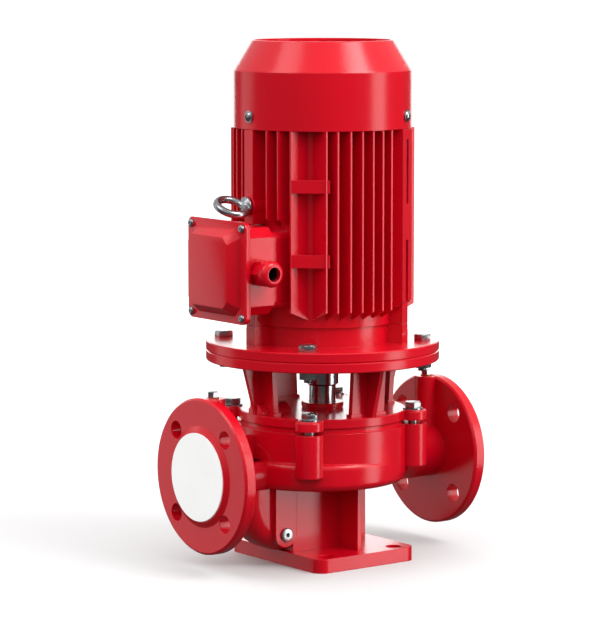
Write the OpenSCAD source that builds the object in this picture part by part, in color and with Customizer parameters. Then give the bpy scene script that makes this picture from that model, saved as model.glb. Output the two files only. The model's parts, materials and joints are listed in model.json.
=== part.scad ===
// Vertical in-line centrifugal pump with a flange-mounted motor.
// Z is the shaft axis and points up. The origin is on that axis, at the underside of the base.
// X runs through both ports: the suction port faces -X and the discharge port faces +X.

/* [Ports] */
// Bore of both ports
port_bore = 50; // [46:1:52]
// Outer diameter of the port flanges
port_flange_d = 165; // [158:1:172]
// Thickness of a port flange ring
port_flange_t = 14.3; // [12:0.1:17]
// Bolt circle of the port flanges
port_pcd = 125; // [122:1:130]
// Bolt holes of the suction flange
suction_hole_d = 19; // [14:0.5:20]
// Bolt holes of the discharge flange
discharge_hole_d = 19.8; // [14:0.1:21]
// Distance between the front planes of the two flange rings
port_span = 320; // [314:1:340]
// Height of the raised sealing face
port_face_h = 3.5; // [2:0.1:5]
// Diameter of the raised sealing face
port_face_d = 96; // [90:1:100]
// Height of the port axis above the floor
port_z = 102.7; // [101:0.1:105]
// Outside diameter of the port pipes
pipe_d = 60; // [58:0.5:64]
// Bore of the cast passage inside the casing
passage_d = 40; // [34:1:42]
// Radius of the upright gauge bosses behind the flanges
gauge_boss_r = 13; // [10:0.5:14]
// Distance from the flange top down to the gauge boss top
gauge_boss_drop = 0.9; // [0:0.1:6]
// Size across flats of the gauge plugs
gauge_plug_af = 10; // [8:0.5:14]

/* [Base] */
// Base plate size along X
base_x = 130; // [124:1:150]
// Base plate size along Y
base_y = 162; // [156:1:180]
// Base plate thickness
base_t = 15; // [12:0.5:18]
// Corner radius of the base plate
base_corner_r = 12; // [6:1:18]
// Hole spacing along X
base_hole_x = 90; // [86:1:100]
// Hole spacing along Y
base_hole_y = 134; // [128:1:140]
// Diameter of the base holes
base_hole_d = 17; // [10:0.5:18]
// Radius of the upright riser around the shaft axis
riser_r = 27.5; // [26.5:0.5:30]
// Thickness of the riser ribs
rib_t = 5; // [4:0.5:8]
// Reach of the two side ribs from the axis
rib_reach_y = 63; // [50:1:70]
// Reach of the rear rib from the axis
rib_reach_x = 56.6; // [45:0.1:60]
// Half width of the suction elbow
elbow_half_w = 24.5; // [23:0.5:26]
// Outer radius of the suction elbow
elbow_r = 58; // [56:0.5:60]
// Edge rounding of the suction elbow
elbow_round = 17; // [10:1:20]
// Size across flats of the drain plug's socket
drain_socket_af = 5; // [4:0.5:6]
// Diameter of the drain plug's head
drain_plug_d = 14.6; // [12:0.1:16]

/* [Casing] */
// Height of the bowl's underside
bowl_z = 85.5; // [84:0.1:87]
// Height of the bowl
bowl_h = 30; // [27:0.5:33]
// Radius of the bowl, which lies off the shaft axis
bowl_r = 95; // [94:0.5:97]
// Radius of the casing wall
casing_r = 92; // [90:0.5:94]
// Height of the casing's rim
casing_top_z = 146.5; // [145:0.1:148]
// Bolt circle radius of the cover joint
cover_bolt_r = 97.6; // [96:0.1:100]
// End radius of the casing's bolt bosses
boss_r = 11.5; // [10:0.5:12.5]
// Height of the bolt bosses
boss_h = 45; // [36:1:50]
// Open gap between the casing rim and the cover plate
joint_gap = 5.2; // [3:0.1:7]
// Diameter of the cover's spigot
spigot_d = 175; // [173:0.5:176]

/* [Lantern] */
// Radius of the cover plate
cover_r = 90; // [88.5:0.5:91]
// Thickness of the cover plate
cover_t = 10.4; // [8:0.1:13]
// Free height between the cover plate and the lantern's top flange
lantern_h = 53.2; // [50:0.1:60]
// Thickness of the lantern's top flange
lantern_flange_t = 10.7; // [8:0.1:14]
// Half width of a lantern post
post_half_w = 21.3; // [17:0.1:24]
// Thickness of a lantern post
post_t = 6; // [4:0.5:9]
// Thickness of the rib on each post
post_rib_t = 5; // [3:0.5:8]
// Outer radius of the post at its top
post_top_r = 83; // [82:0.5:86]
// Outer radius of the post at its foot
post_foot_r = 79.5; // [78:0.5:82]
// Reach of the post's rib at its top
post_rib_top_r = 105; // [98:0.5:110]

/* [Motor] */
// Diameter of the motor flange and of the lantern's top flange
motor_flange_d = 250; // [244:1:260]
// Thickness of the motor flange
motor_flange_t = 10.5; // [8:0.1:14]
// Bolt circle of the motor flange
motor_pcd = 215; // [212:1:222]
// Diameter of the motor flange's spigot
motor_spigot_d = 180; // [176:1:184]
// Radius of the drive-end shield's drum
drum_r = 77; // [76:0.5:80]
// Height of the drum above the motor flange
drum_h = 20.5; // [19.5:0.5:26]
// Outer radius of the motor frame between its fins
frame_r = 80; // [78.5:0.5:82]
// Wall thickness of the motor frame
frame_wall = 10; // [8:0.5:11]
// Radius of the circle through the fin tips
fin_tip_r = 97; // [94:0.5:99]
// Thickness of a fin
fin_t = 2.3; // [1.8:0.1:3.5]
// Distance from fin to fin at the sides
fin_pitch = 12.7; // [12:0.1:13]
// Length of the frame from the drive-end shield to the cowl's lower edge
frame_l = 206; // [200:1:215]
// Width of the two mounting rails
rail_w = 25.6; // [20:0.1:28]
// Width of the slots in the rails
rail_slot_w = 7; // [5:0.5:9]
// Width of the lugs that join frame and shields
lug_w = 15; // [12.5:0.5:17]

/* [Cowl] */
// Outer radius of the cowl's straight part
cowl_r = 95.7; // [94.5:0.1:98]
// Outer radius of the cowl's top rim
cowl_top_r = 76.5; // [70:0.5:80]
// Height of the cowl's straight part
cowl_straight_h = 61.1; // [58:0.1:66]
// Height of the cowl's cone
cowl_cone_h = 30.9; // [26:0.1:36]
// Sheet thickness of the cowl
cowl_sheet = 1.7; // [1.2:0.1:2]
// Diameter of the cowl screw heads
cowl_screw_head_d = 13; // [9:0.5:14]

/* [Terminal box] */
// Height of the box centre above the floor
box_z = 318.5; // [314:0.5:322]
// Width of the box body
box_w = 88; // [84:1:92]
// Height of the box body
box_h = 91; // [86:1:94]
// Distance from the shaft axis to the back of the box
box_back_x = 96; // [95:0.5:98]
// Depth of the box body without its front flange
box_depth = 35.5; // [33:0.5:40]
// Wall of the box and the lid
box_wall = 3.5; // [2.5:0.1:4.5]
// Width of the lid
lid_w = 104; // [100:1:108]
// Height of the lid
lid_h = 106.5; // [102:0.5:110]
// Thickness of the lid's rim
lid_t = 4; // [3:0.1:5]
// Height of the lid's bevelled panel
lid_panel_h = 9; // [5:0.5:12]
// Outer diameter of the cable gland's dome
gland_d = 27.5; // [24:0.5:30]
// Cable hole of the gland
gland_hole_d = 15; // [8:0.5:16]

/* [Shaft and impeller] */
// Shaft diameter through the shaft seal
seal_shaft_d = 28.5; // [26:0.5:30]
// Shaft diameter below the motor
stub_d = 34.4; // [32:0.1:34.8]
// Height of the step between these two diameters
stub_step_z = 186.5; // [176:0.5:200]
// Bore of the drive-end bearing
drive_bearing_bore = 35; // [35:0.1:36]
// Outer diameter of the drive-end bearing
drive_bearing_d = 72; // [70:1:74]
// Bore of the non-drive-end bearing
rear_bearing_bore = 30; // [28:0.5:31]
// Outer diameter of the non-drive-end bearing
rear_bearing_d = 62; // [60:1:64]
// Outer diameter of the impeller
impeller_d = 132; // [124:1:136]
// Number of impeller vanes
vanes = 6; // [5:1:7]
// Width of the impeller's outlet
outlet_w = 14; // [11:0.5:15]
// Radial running clearance at the wear ring
wear_gap = 0.3; // [0.2:0.05:0.5]
// Air gap between stator and rotor
air_gap = 0.4; // [0.3:0.05:0.8]

/* [Lifting eye] */
// Height of the lifting eye above the floor
eye_z = 383.5; // [380:0.5:390]
// Radius of the eye's centre line
eye_ring_r = 15.5; // [13:0.5:18]
// Thickness of the eye's ring
eye_wire_d = 7; // [5:0.5:8]

/* [Hidden] */

$fn = 96;
eps = 0.01;
// Clearance of turned fits that stay still, and of holes around bolts
fit = 0.1;
bolt_clear = 0.5;

RED = "#c8141e";
STEEL = "#c9ccd0";

// Heights of the stack, each from the one below it
boss_top_z = casing_top_z + 1;
cover_z = casing_top_z + joint_gap;
cover_top_z = cover_z + cover_t;
lantern_flange_z = cover_top_z + lantern_h;
motor_z = lantern_flange_z + lantern_flange_t;
drum_z = motor_z + motor_flange_t;
frame_z = drum_z + drum_h;
cowl_z = frame_z + frame_l + 0.4;
frame_end_z = cowl_z + 6.6;
cowl_shoulder_z = cowl_z + cowl_straight_h;
cowl_top_z = cowl_shoulder_z + cowl_cone_h;

// Bolt patterns
quarter_angles = [45, 135, 225, 315];
lug_angles = [60, 180, 300];

// Casing inside
volute_floor_z = bowl_z + 10.5;
spigot_depth = 13.7;
gasket_t = 2;
spigot_end_z = cover_z - spigot_depth;
gasket_z = spigot_end_z - gasket_t;
volute_max_r = 79;
volute_min_r = impeller_d / 2 + 3;
backing_r = volute_min_r - 1;
bowl_x = -5.2;
bowl_y = 1.4;
m10_r = 5;
m10_head_h = 6.4;
m10_washer_t = 1.6;

// Impeller stack
shroud_t = 3;
impeller_z = volute_floor_z + 2;
vane_z = impeller_z + shroud_t;
back_z = vane_z + outlet_w;
back_t = 3.5;
hub_top_z = back_z + back_t + 5.5;
hub_r = 17.5;
eye_r = 26;
neck_r = 31;
wear_ring_r = neck_r + wear_gap + 4.7;
wear_ring_z = bowl_z + 4.5;
hub_bore_r = 11;
shaft_thread_r = 8;
impeller_washer_t = 2;
impeller_nut_h = 12;

// Port flanges and gauge connections
flange_back_x = port_span / 2 - port_flange_t;
gauge_x = flange_back_x - 2.4;
gauge_top_z = port_z + port_flange_d / 2 - gauge_boss_drop;
gauge_thread_r = 3.5;
gauge_thread_l = 12;
gauge_washer_r = 6.25;
gauge_washer_t = 1.2;

// Shaft seal
seal_chamber_r = 24;
spring_wire_r = 1.25;
spring_turns = 4;
seal_head_z = hub_top_z + 15.5;
seal_head_h = 8.5;
seal_face_z = seal_head_z + seal_head_h;
seat_h = cover_top_z - 4.6 - seal_face_z;
seat_r = 19.5;
seat_gasket_t = 1.5;
gland_spigot_r = 18;
gland_low_r = 22;
gland_top_r = 22.7;
gland_low_h = 1.9;
gland_top_h = 4.6;

// Motor inside
frame_bore_r = frame_r - frame_wall;
drive_bearing_w = 17;
drive_bearing_z = drum_z + 2.5;
rear_bearing_w = 16;
rear_bearing_z = frame_end_z + 2;
stack_z = frame_z + 43;
stack_l = 120;
rotor_r = 40;
rotor_shaft_r = 20;
fan_shaft_r = 12;
fan_z = rear_bearing_z + rear_bearing_w + 7;
fan_hub_h = 18;
fan_hub_r = 20;
fan_r = 84;
shield_lug_r = cowl_r - cowl_sheet - 0.2;
shield_screw_r = 86;
m6_r = 3;
m6_head_r = 5;
m6_head_h = 6;
drive_screw_sink = 7;
drive_screw_l = 38;
rear_screw_r = frame_r - frame_wall / 2;
cowl_screw_tip_r = rear_screw_r + m6_head_r + 4.2;
oil_seal_r = 26;
oil_seal_h = 7;
lug_root_r = frame_r - frame_wall + 4;
lug_seam = 0.3;
rear_shield_t = 14;

// Terminal box
pad_half_w = 40;
pad_half_h = 40;
pad_x = box_back_x;
box_front_x = box_back_x + box_depth;
box_flange_t = 2;
box_gasket_t = 0.5;
lid_x = box_front_x + box_flange_t + box_gasket_t;
lid_corner_r = 7;
lid_screw_y = lid_w / 2 - 6.5;
lid_screw_z = lid_h / 2 - 6.75;
gland_x = box_back_x + 20;
box_chamfer = 10;

// Solid ring on Z
module ring(outer, inner, height) {
    difference() {
        cylinder(r = outer, h = height);
        translate([0, 0, -1]) cylinder(r = inner, h = height + 2);
    }
}

// Solid disc on Z with a small chamfer round both edges
rim_chamfer = 1;
module rim_disc(radius, height) {
    c = rim_chamfer;
    rotate_extrude()
        polygon([[0, 0], [radius - c, 0], [radius, c], [radius, height - c], [radius - c, height],
            [0, height]]);
}

// Hexagonal prism on Z, across flats
module hex_prism(af, height) {
    cylinder(d = af / cos(30), h = height, $fn = 6);
}

// Children copied to each angle at one radius
module around(angles, radius) {
    for (a = angles) rotate([0, 0, a]) translate([radius, 0, 0]) children();
}

// Children turned so that their Z points along +X, -X or -Y
module to_plus_x() { rotate([0, 90, 0]) children(); }
module to_minus_x() { rotate([0, -90, 0]) children(); }
module to_minus_y() { rotate([90, 0, 0]) children(); }

// Plate with rounded corners, centred on Z, from z = 0 up
module rounded_plate(x, y, corner, height) {
    translate([-x / 2 + corner, -y / 2, 0]) cube([x - 2 * corner, y, height]);
    translate([-x / 2, -y / 2 + corner, 0]) cube([x, y - 2 * corner, height]);
    for (sx = [-1, 1], sy = [-1, 1])
        translate([sx * (x / 2 - corner), sy * (y / 2 - corner), 0]) cylinder(r = corner, h = height);
}

// Plate with chamfered corners, centred on Z, from z = 0 up
module octagon_plate(x, y, chamfer, height) {
    a = x / 2;
    b = y / 2;
    c = chamfer;
    linear_extrude(height)
        polygon([[a, -b + c], [a, b - c], [a - c, b], [-a + c, b],
                 [-a, b - c], [-a, -b + c], [-a + c, -b], [a - c, -b]]);
}

// Hex bolt that points down from z = 0, with its head above z = 0
module hex_bolt(radius, length, af, head_h) {
    translate([0, 0, -length]) cylinder(r = radius, h = length + eps, $fn = 32);
    difference() {
        hex_prism(af, head_h);
        translate([0, 0, head_h - 0.7]) difference() {
            cylinder(r = af, h = 2, $fn = 48);
            translate([0, 0, -eps]) cylinder(r1 = af / 2 + 0.6, r2 = af / 2 - 2.6, h = 2.1, $fn = 48);
        }
    }
}

// Socket-head screw that points down from z = 0, with its head above z = 0
module socket_screw(radius, length, head_r, head_h) {
    translate([0, 0, -length]) cylinder(r = radius, h = length + eps, $fn = 32);
    difference() {
        cylinder(r = head_r, h = head_h, $fn = 32);
        translate([0, 0, head_h / 2]) hex_prism(head_r, head_h);
    }
}

// Half angle polygon that joins a boss of the given radius to a wall further in
module boss_wedge(at_r, end_r, root_r, root_half, height) {
    linear_extrude(height)
        polygon([[root_r, -root_half], [at_r, -end_r], [at_r, end_r], [root_r, root_half]]);
}

// Rod between two points with slightly fuller balls at its ends, for cast passages
module passage(p, q, r) {
    d = q - p;
    l = norm(d);
    ball_r = r + 0.6;
    translate(p) sphere(r = ball_r, $fn = 64);
    translate(p) rotate([0, acos(d[2] / l), atan2(d[1], d[0])]) cylinder(r = r, h = l, $fn = 64);
    translate(q) sphere(r = ball_r, $fn = 64);
}

// Centre line of the suction elbow, from the port to below the impeller eye
elbow_z = base_t + 30;
elbow_points = [[-port_span / 2 + 25, 0, port_z], [-118, 0, 84], [-78, 0, 52], [-38, 0, elbow_z],
                [-8, 0, elbow_z + 2], [0, 0, elbow_z + 12]];

// One port flange on +X, with its raised face and bolt holes not yet cut
module port_flange() {
    bevel = 2.2;
    r = port_flange_d / 2;
    face_r = port_face_d / 2;
    translate([flange_back_x, 0, port_z]) to_plus_x() rotate_extrude()
        polygon([[0, 0], [r - bevel, 0], [r, bevel], [r, port_flange_t - bevel],
                 [r - bevel, port_flange_t], [face_r + 5.5, port_flange_t],
                 [face_r, port_flange_t + port_face_h], [0, port_flange_t + port_face_h]]);
}

// Upright boss for a gauge plug behind a flange
module gauge_boss() {
    translate([gauge_x, 0, port_z]) cylinder(r = gauge_boss_r, h = gauge_top_z - port_z);
}

// Suction elbow with its flat sides, from the flange down to the base
module suction_elbow() {
    centre_x = -60;
    centre_z = base_t + elbow_r;
    inner = elbow_r - elbow_round;
    // Straight part behind the flange
    translate([-port_span / 2 + 2, 0, port_z]) to_plus_x() cylinder(d = pipe_d, h = port_span / 2 - 70);
    translate([centre_x - elbow_r, 0, port_z]) sphere(d = pipe_d, $fn = 72);
    // Quarter turn with rounded edges
    translate([centre_x, 0, centre_z]) rotate([90, 0, 0]) rotate([0, 0, 180]) rotate_extrude(angle = 90)
        union() {
            translate([0, -elbow_half_w]) square([inner, 2 * elbow_half_w]);
            translate([0, -elbow_half_w + elbow_round])
                square([elbow_r, 2 * (elbow_half_w - elbow_round)]);
            for (s = [-1, 1])
                translate([inner, s * (elbow_half_w - elbow_round)]) circle(r = elbow_round, $fn = 64);
        }
    // Flat-sided body above and beside the quarter turn
    translate([centre_x - inner, -elbow_half_w, centre_z])
        cube([inner - centre_x, 2 * elbow_half_w, port_z - centre_z]);
    translate([centre_x - elbow_r + 2, -elbow_half_w + elbow_round, centre_z])
        cube([inner, 2 * (elbow_half_w - elbow_round), port_z - centre_z]);
    for (s = [-1, 1])
        translate([centre_x - inner, s * (elbow_half_w - elbow_round), centre_z])
            cylinder(r = elbow_round, h = port_z - centre_z, $fn = 64);
    translate([centre_x, -elbow_half_w, base_t - eps])
        cube([-centre_x, 2 * elbow_half_w, bowl_z - base_t + 8]);
    translate([centre_x, -riser_r, base_t - eps]) cube([-centre_x, 2 * riser_r, bowl_z - base_t + 8]);
}

drain_x = -70.5;
drain_z = 35.2;
drain_face_y = 30.2;

// Outer form of the base, riser and ribs
module base_and_riser() {
    rounded_plate(base_x, base_y, base_corner_r, base_t);
    translate([0, 0, base_t - eps]) cylinder(r = riser_r, h = bowl_z - base_t + 4);
    translate([-rib_t / 2 + 2, -rib_reach_y, base_t - eps])
        cube([rib_t, 2 * rib_reach_y, bowl_z - base_t + 5]);
    translate([0, -rib_t / 2, base_t - eps]) cube([rib_reach_x, rib_t, bowl_z - base_t + 5]);
    // Boss and strip that hold the drain plug
    translate([drain_x, -drain_face_y, drain_z]) rotate([-90, 0, 0]) cylinder(r = 13.5, h = 25);
    translate([drain_x - 13.5, -drain_face_y, drain_z]) cube([27, 25, bowl_z - drain_z + 8]);
}

// Bowl and casing wall
module bowl() {
    low = 8.5;
    high = 7;
    translate([bowl_x, bowl_y, bowl_z]) rotate_extrude() union() {
        square([bowl_r - low, bowl_h]);
        translate([0, low]) square([bowl_r, bowl_h - low - high]);
        translate([bowl_r - low, low]) circle(r = low, $fn = 48);
        translate([0, bowl_h - high - eps]) square([bowl_r - high, high]);
        translate([bowl_r - high, bowl_h - high]) circle(r = high, $fn = 48);
    }
    translate([0, 0, bowl_z + 10]) cylinder(r = casing_r, h = casing_top_z - bowl_z - 10);
    around(quarter_angles, 0) {
        translate([cover_bolt_r, 0, boss_top_z - boss_h]) cylinder(r = boss_r, h = boss_h);
        translate([0, 0, boss_top_z - boss_h])
            boss_wedge(cover_bolt_r, boss_r, casing_r - 10, boss_r + 4, boss_h);
    }
}

neck_z = 110;

// Discharge neck between the bowl and the flange
module discharge_neck() {
    translate([port_span / 2 - port_flange_t - 30, 0, port_z]) to_plus_x() cylinder(d = pipe_d, h = 32);
    hull() {
        translate([118, 0, port_z + 0.3]) sphere(d = pipe_d + 1, $fn = 40);
        translate([80, 0, neck_z + 2]) scale([0.3, 1.1, 0.78]) sphere(d = pipe_d, $fn = 32);
    }
}

// Spiral room around the impeller, which widens towards the outlet
module volute_room() {
    steps = 40;
    turn = 350;
    points = [for (i = [0:steps])
        let (a = -30 + turn * i / steps, r = volute_min_r + (volute_max_r - volute_min_r) * i / steps)
        [r * cos(a), r * sin(a)]];
    translate([0, 0, volute_floor_z]) linear_extrude(gasket_z - volute_floor_z + eps) polygon(points);
    // Throat that leads the flow from the spiral to the port
    passage([58, 0, neck_z + 2.5], [118, 0, port_z + 1], passage_d / 2 - 1.5);
}

module pump_casing() {
    color(RED) difference() {
        union() {
            base_and_riser();
            suction_elbow();
            bowl();
            discharge_neck();
            port_flange();
            mirror([1, 0, 0]) port_flange();
            gauge_boss();
            mirror([1, 0, 0]) gauge_boss();
        }
        // Base holes
        for (sx = [-1, 1], sy = [-1, 1])
            translate([sx * base_hole_x / 2, sy * base_hole_y / 2, -1])
                cylinder(d = base_hole_d, h = base_t + 2);
        // Port bores and flange holes
        for (s = [0, 1]) mirror([s, 0, 0]) {
            translate([port_span / 2 - 42, 0, port_z]) to_plus_x() cylinder(d = port_bore, h = 60);
            hole_d = s == 0 ? discharge_hole_d : suction_hole_d;
            for (a = quarter_angles) translate([flange_back_x - 1, 0, port_z]) rotate([a, 0, 0])
                translate([0, 0, port_pcd / 2]) to_plus_x() cylinder(d = hole_d, h = port_flange_t + 6);
            translate([gauge_x, 0, port_z])
                cylinder(r = gauge_thread_r + fit, h = port_flange_d, $fn = 32);
            translate([gauge_x, 0, gauge_top_z]) cylinder(r = gauge_washer_r + 0.65, h = 10, $fn = 48);
        }
        // Cast passages
        for (i = [0:len(elbow_points) - 2])
            passage(elbow_points[i], elbow_points[i + 1], passage_d / 2);
        translate([0, 0, elbow_z + 12])
            cylinder(r1 = passage_d / 2, r2 = port_bore / 2 - 0.5, h = wear_ring_z - elbow_z - 12 + eps);
        volute_room();
        // Seat of the wear ring, gasket ledge and cover register
        translate([0, 0, wear_ring_z]) cylinder(r = wear_ring_r + fit, h = 40);
        translate([0, 0, gasket_z]) cylinder(d = spigot_d + 2 * fit, h = 40);
        // Threaded holes of the cover bolts and the drain
        around(quarter_angles, cover_bolt_r)
            translate([0, 0, boss_top_z - 32]) cylinder(r = m10_r + fit, h = 40, $fn = 40);
        translate([drain_x, -40, drain_z]) rotate([-90, 0, 0]) cylinder(r = 5 + fit, h = 35, $fn = 40);
    }
}

module wear_ring() {
    color("#b08d57") translate([0, 0, wear_ring_z])
        ring(wear_ring_r, neck_r + wear_gap, volute_floor_z - wear_ring_z);
}

// Vane between the shrouds: one arc that meets eye and rim at the same flat angle
vane_angle = 25;
vane_inner_r = eye_r + 1;
vane_outer_r = impeller_d / 2 - 0.5;
vane_t = 3;
vane_arc_r = (vane_outer_r + vane_inner_r) / (2 * cos(vane_angle));
vane_arc_x = sqrt(pow(vane_outer_r, 2) + pow(vane_arc_r, 2)
    - 2 * vane_outer_r * vane_arc_r * cos(vane_angle));

module vane() {
    sink = 0.5;
    h = outlet_w + 2 * sink;
    intersection() {
        translate([vane_arc_x, 0, vane_z - sink])
            ring(vane_arc_r + vane_t / 2, vane_arc_r - vane_t / 2, h);
        translate([0, 0, vane_z - sink]) ring(vane_outer_r, vane_inner_r, h);
        translate([-impeller_d, 0, vane_z - 1]) cube([2 * impeller_d, impeller_d, outlet_w + 2]);
    }
}

module impeller() {
    color("#c2a36b") difference() {
        union() {
            translate([0, 0, impeller_z]) ring(impeller_d / 2, eye_r, shroud_t);
            translate([0, 0, wear_ring_z + 1]) ring(neck_r, eye_r, impeller_z - wear_ring_z - 1 + eps);
            translate([0, 0, back_z]) cylinder(d = impeller_d, h = back_t);
            for (i = [0:vanes - 1]) rotate([0, 0, i * 360 / vanes]) vane();
            translate([0, 0, back_z + 1]) cylinder(r = hub_r, h = hub_top_z - back_z - 1);
            translate([0, 0, impeller_z]) cylinder(r1 = 17, r2 = hub_r + 3, h = back_z - impeller_z + 1);
        }
        translate([0, 0, impeller_z - 1]) cylinder(r = hub_bore_r + fit, h = hub_top_z);
        translate([0, -key_w / 2 - fit, impeller_z - 1])
            cube([key_out_r + fit, key_w + 2 * fit, key_l + 3]);
    }
}

key_w = 6;
key_l = 18;
key_out_r = hub_bore_r + 2.8;

module impeller_key() {
    color(STEEL) translate([key_out_r - key_w, -key_w / 2, impeller_z + 0.5])
        cube([key_w, key_w, key_l - 2]);
}

module impeller_washer() {
    color(STEEL) translate([0, 0, impeller_z - impeller_washer_t])
        ring(14, shaft_thread_r + fit, impeller_washer_t);
}

module impeller_nut() {
    color("#b08d57") translate([0, 0, impeller_z - impeller_washer_t - impeller_nut_h]) difference() {
        hex_prism(24, impeller_nut_h);
        translate([0, 0, -1]) cylinder(r = shaft_thread_r + fit, h = impeller_nut_h + 2);
    }
}

// Coil spring swept along a helix
module seal_spring() {
    coil_r = seal_shaft_d / 2 + 3.2;
    sides = 8;
    per_turn = 14;
    rise = seal_head_z - hub_top_z - 2 * spring_wire_r - 0.2;
    rings = spring_turns * per_turn;
    points = [for (i = [0:rings], j = [0:sides - 1])
        let (a = 360 * i / per_turn, b = 360 * j / sides, r = coil_r + spring_wire_r * cos(b))
        [r * cos(a), r * sin(a),
            hub_top_z + spring_wire_r + 0.1 + rise * i / rings + spring_wire_r * sin(b)]];
    walls = [for (i = [0:rings - 1], j = [0:sides - 1])
        let (k = (j + 1) % sides)
        [i * sides + j, (i + 1) * sides + j, (i + 1) * sides + k, i * sides + k]];
    start = [for (j = [0:sides - 1]) j];
    end = [for (j = [sides - 1:-1:0]) rings * sides + j];
    color(STEEL) polyhedron(points, concat(walls, [start, end]), convexity = 6);
}

module seal_head() {
    color("#3a3d42") translate([0, 0, seal_head_z]) {
        ring(20.5, seal_shaft_d / 2 + fit, seal_head_h - 3);
        translate([0, 0, seal_head_h - 3 - eps]) ring(18, seal_shaft_d / 2 + fit, 3 + eps);
    }
}

module seal_seat() {
    color("#e8e4da") translate([0, 0, seal_face_z]) ring(seat_r, seal_shaft_d / 2 + 1, seat_h);
}

module seal_seat_gasket() {
    color("#222222") translate([0, 0, seal_face_z + 1.5])
        ring(seat_r + seat_gasket_t, seat_r + eps, seat_h - 1.5);
}

module gland_ring() {
    top_h = gland_top_h - 1;
    color(RED) difference() {
        union() {
            translate([0, 0, cover_top_z - 4]) cylinder(r = gland_spigot_r, h = 4 + gland_low_h);
            translate([0, 0, cover_top_z]) cylinder(r = gland_low_r, h = gland_low_h);
            translate([0, 0, cover_top_z + gland_low_h - eps]) cylinder(r = gland_top_r, h = top_h);
            translate([0, 0, cover_top_z + gland_low_h + top_h - 2 * eps])
                cylinder(r1 = gland_top_r, r2 = gland_top_r - 1, h = 1);
        }
        translate([0, 0, cover_top_z - 5]) cylinder(r = seal_shaft_d / 2 + 0.5, h = 20);
    }
}

module casing_gasket() {
    color("#3a3a3a") translate([0, 0, gasket_z]) ring(spigot_d / 2 - 0.5, volute_max_r + 1.5, gasket_t);
}

// One lantern post with its tapered outer rib, on +X
module lantern_post() {
    lean = atan((post_top_r - post_foot_r) / lantern_h);
    translate([post_foot_r - post_t, 0, cover_top_z - 1]) rotate([0, lean, 0])
        translate([0, -post_half_w, 0]) cube([post_t, 2 * post_half_w, lantern_h + 3]);
    translate([0, post_rib_t / 2, 0]) to_minus_y() linear_extrude(post_rib_t)
        polygon([[post_foot_r - 2, cover_top_z - 1], [cover_r - 0.3, cover_top_z - 1],
                 [post_rib_top_r, lantern_flange_z + 1], [post_top_r - 2, lantern_flange_z + 1]]);
    // Step at the foot
    translate([post_foot_r - post_t - 1.5, -post_half_w - 1.5, cover_top_z - 1])
        cube([post_t + 3, 2 * post_half_w + 3, 4]);
}

module lantern() {
    color(RED) difference() {
        union() {
            // Cover plate with its spigot and the disc behind the impeller
            translate([0, 0, cover_z]) rim_disc(cover_r, cover_t);
            translate([0, 0, spigot_end_z]) cylinder(d = spigot_d, h = spigot_depth + 1);
            translate([0, 0, back_z + back_t + 3]) cylinder(r = backing_r, h = 40 - outlet_w);
            around(quarter_angles, 0) {
                translate([cover_bolt_r, 0, cover_z]) cylinder(r = boss_r - 0.7, h = cover_t);
                translate([0, 0, cover_z])
                    boss_wedge(cover_bolt_r, boss_r - 0.7, cover_r - 8, boss_r + 4, cover_t);
            }
            around([0, 90, 180, 270], 0) lantern_post();
            translate([0, 0, lantern_flange_z]) rim_disc(motor_flange_d / 2, lantern_flange_t);
        }
        // Opening and register under the motor
        translate([0, 0, lantern_flange_z - 1]) cylinder(r = post_top_r - post_t - 3, h = 20);
        translate([0, 0, motor_z - 3.9]) cylinder(d = motor_spigot_d + 2 * fit, h = 5);
        around(quarter_angles, motor_pcd / 2)
            translate([0, 0, lantern_flange_z - 1]) cylinder(r = m10_r + bolt_clear, h = 14, $fn = 40);
        around(quarter_angles, cover_bolt_r)
            translate([0, 0, cover_z - 1]) cylinder(r = m10_r + bolt_clear, h = cover_t + 2, $fn = 40);
        // Seal chamber, seat recess and bore of the gland ring
        translate([0, 0, back_z]) cylinder(r = seal_chamber_r, h = seal_face_z + 1 - back_z);
        translate([0, 0, seal_face_z]) cylinder(r = seat_r + seat_gasket_t + fit, h = seat_h);
        translate([0, 0, seal_face_z]) cylinder(r = gland_spigot_r + fit, h = 20);
    }
}

module casing_bolts() {
    color(STEEL) around(quarter_angles, cover_bolt_r)
        translate([0, 0, cover_top_z + m10_washer_t]) hex_bolt(m10_r, 42, 16, m10_head_h);
}

module casing_bolt_washers() {
    color(STEEL) around(quarter_angles, cover_bolt_r)
        translate([0, 0, cover_top_z]) ring(10.5, m10_r + 0.25, m10_washer_t);
}

motor_bolt_af = 17;

module motor_flange_bolts() {
    length = motor_flange_t + lantern_flange_t + 11;
    color(STEEL) around(quarter_angles, motor_pcd / 2)
        translate([0, 0, drum_z]) hex_bolt(m10_r, length, motor_bolt_af, 7);
}

module motor_flange_nuts() {
    nut_h = 8;
    color(STEEL) around(quarter_angles, motor_pcd / 2) translate([0, 0, lantern_flange_z - nut_h])
        difference() {
        hex_prism(motor_bolt_af, nut_h);
        translate([0, 0, -1]) cylinder(r = m10_r + fit, h = nut_h + 2, $fn = 32);
    }
}

// Radial lug block on the shields, with its screw hole cut by the caller
module shield_lug(outer, bottom, height) {
    translate([lug_root_r, -lug_w / 2, bottom]) cube([outer - lug_root_r, lug_w, height]);
}

bearing_wall = 8;
lip_z = drum_z - 1.5;

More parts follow.
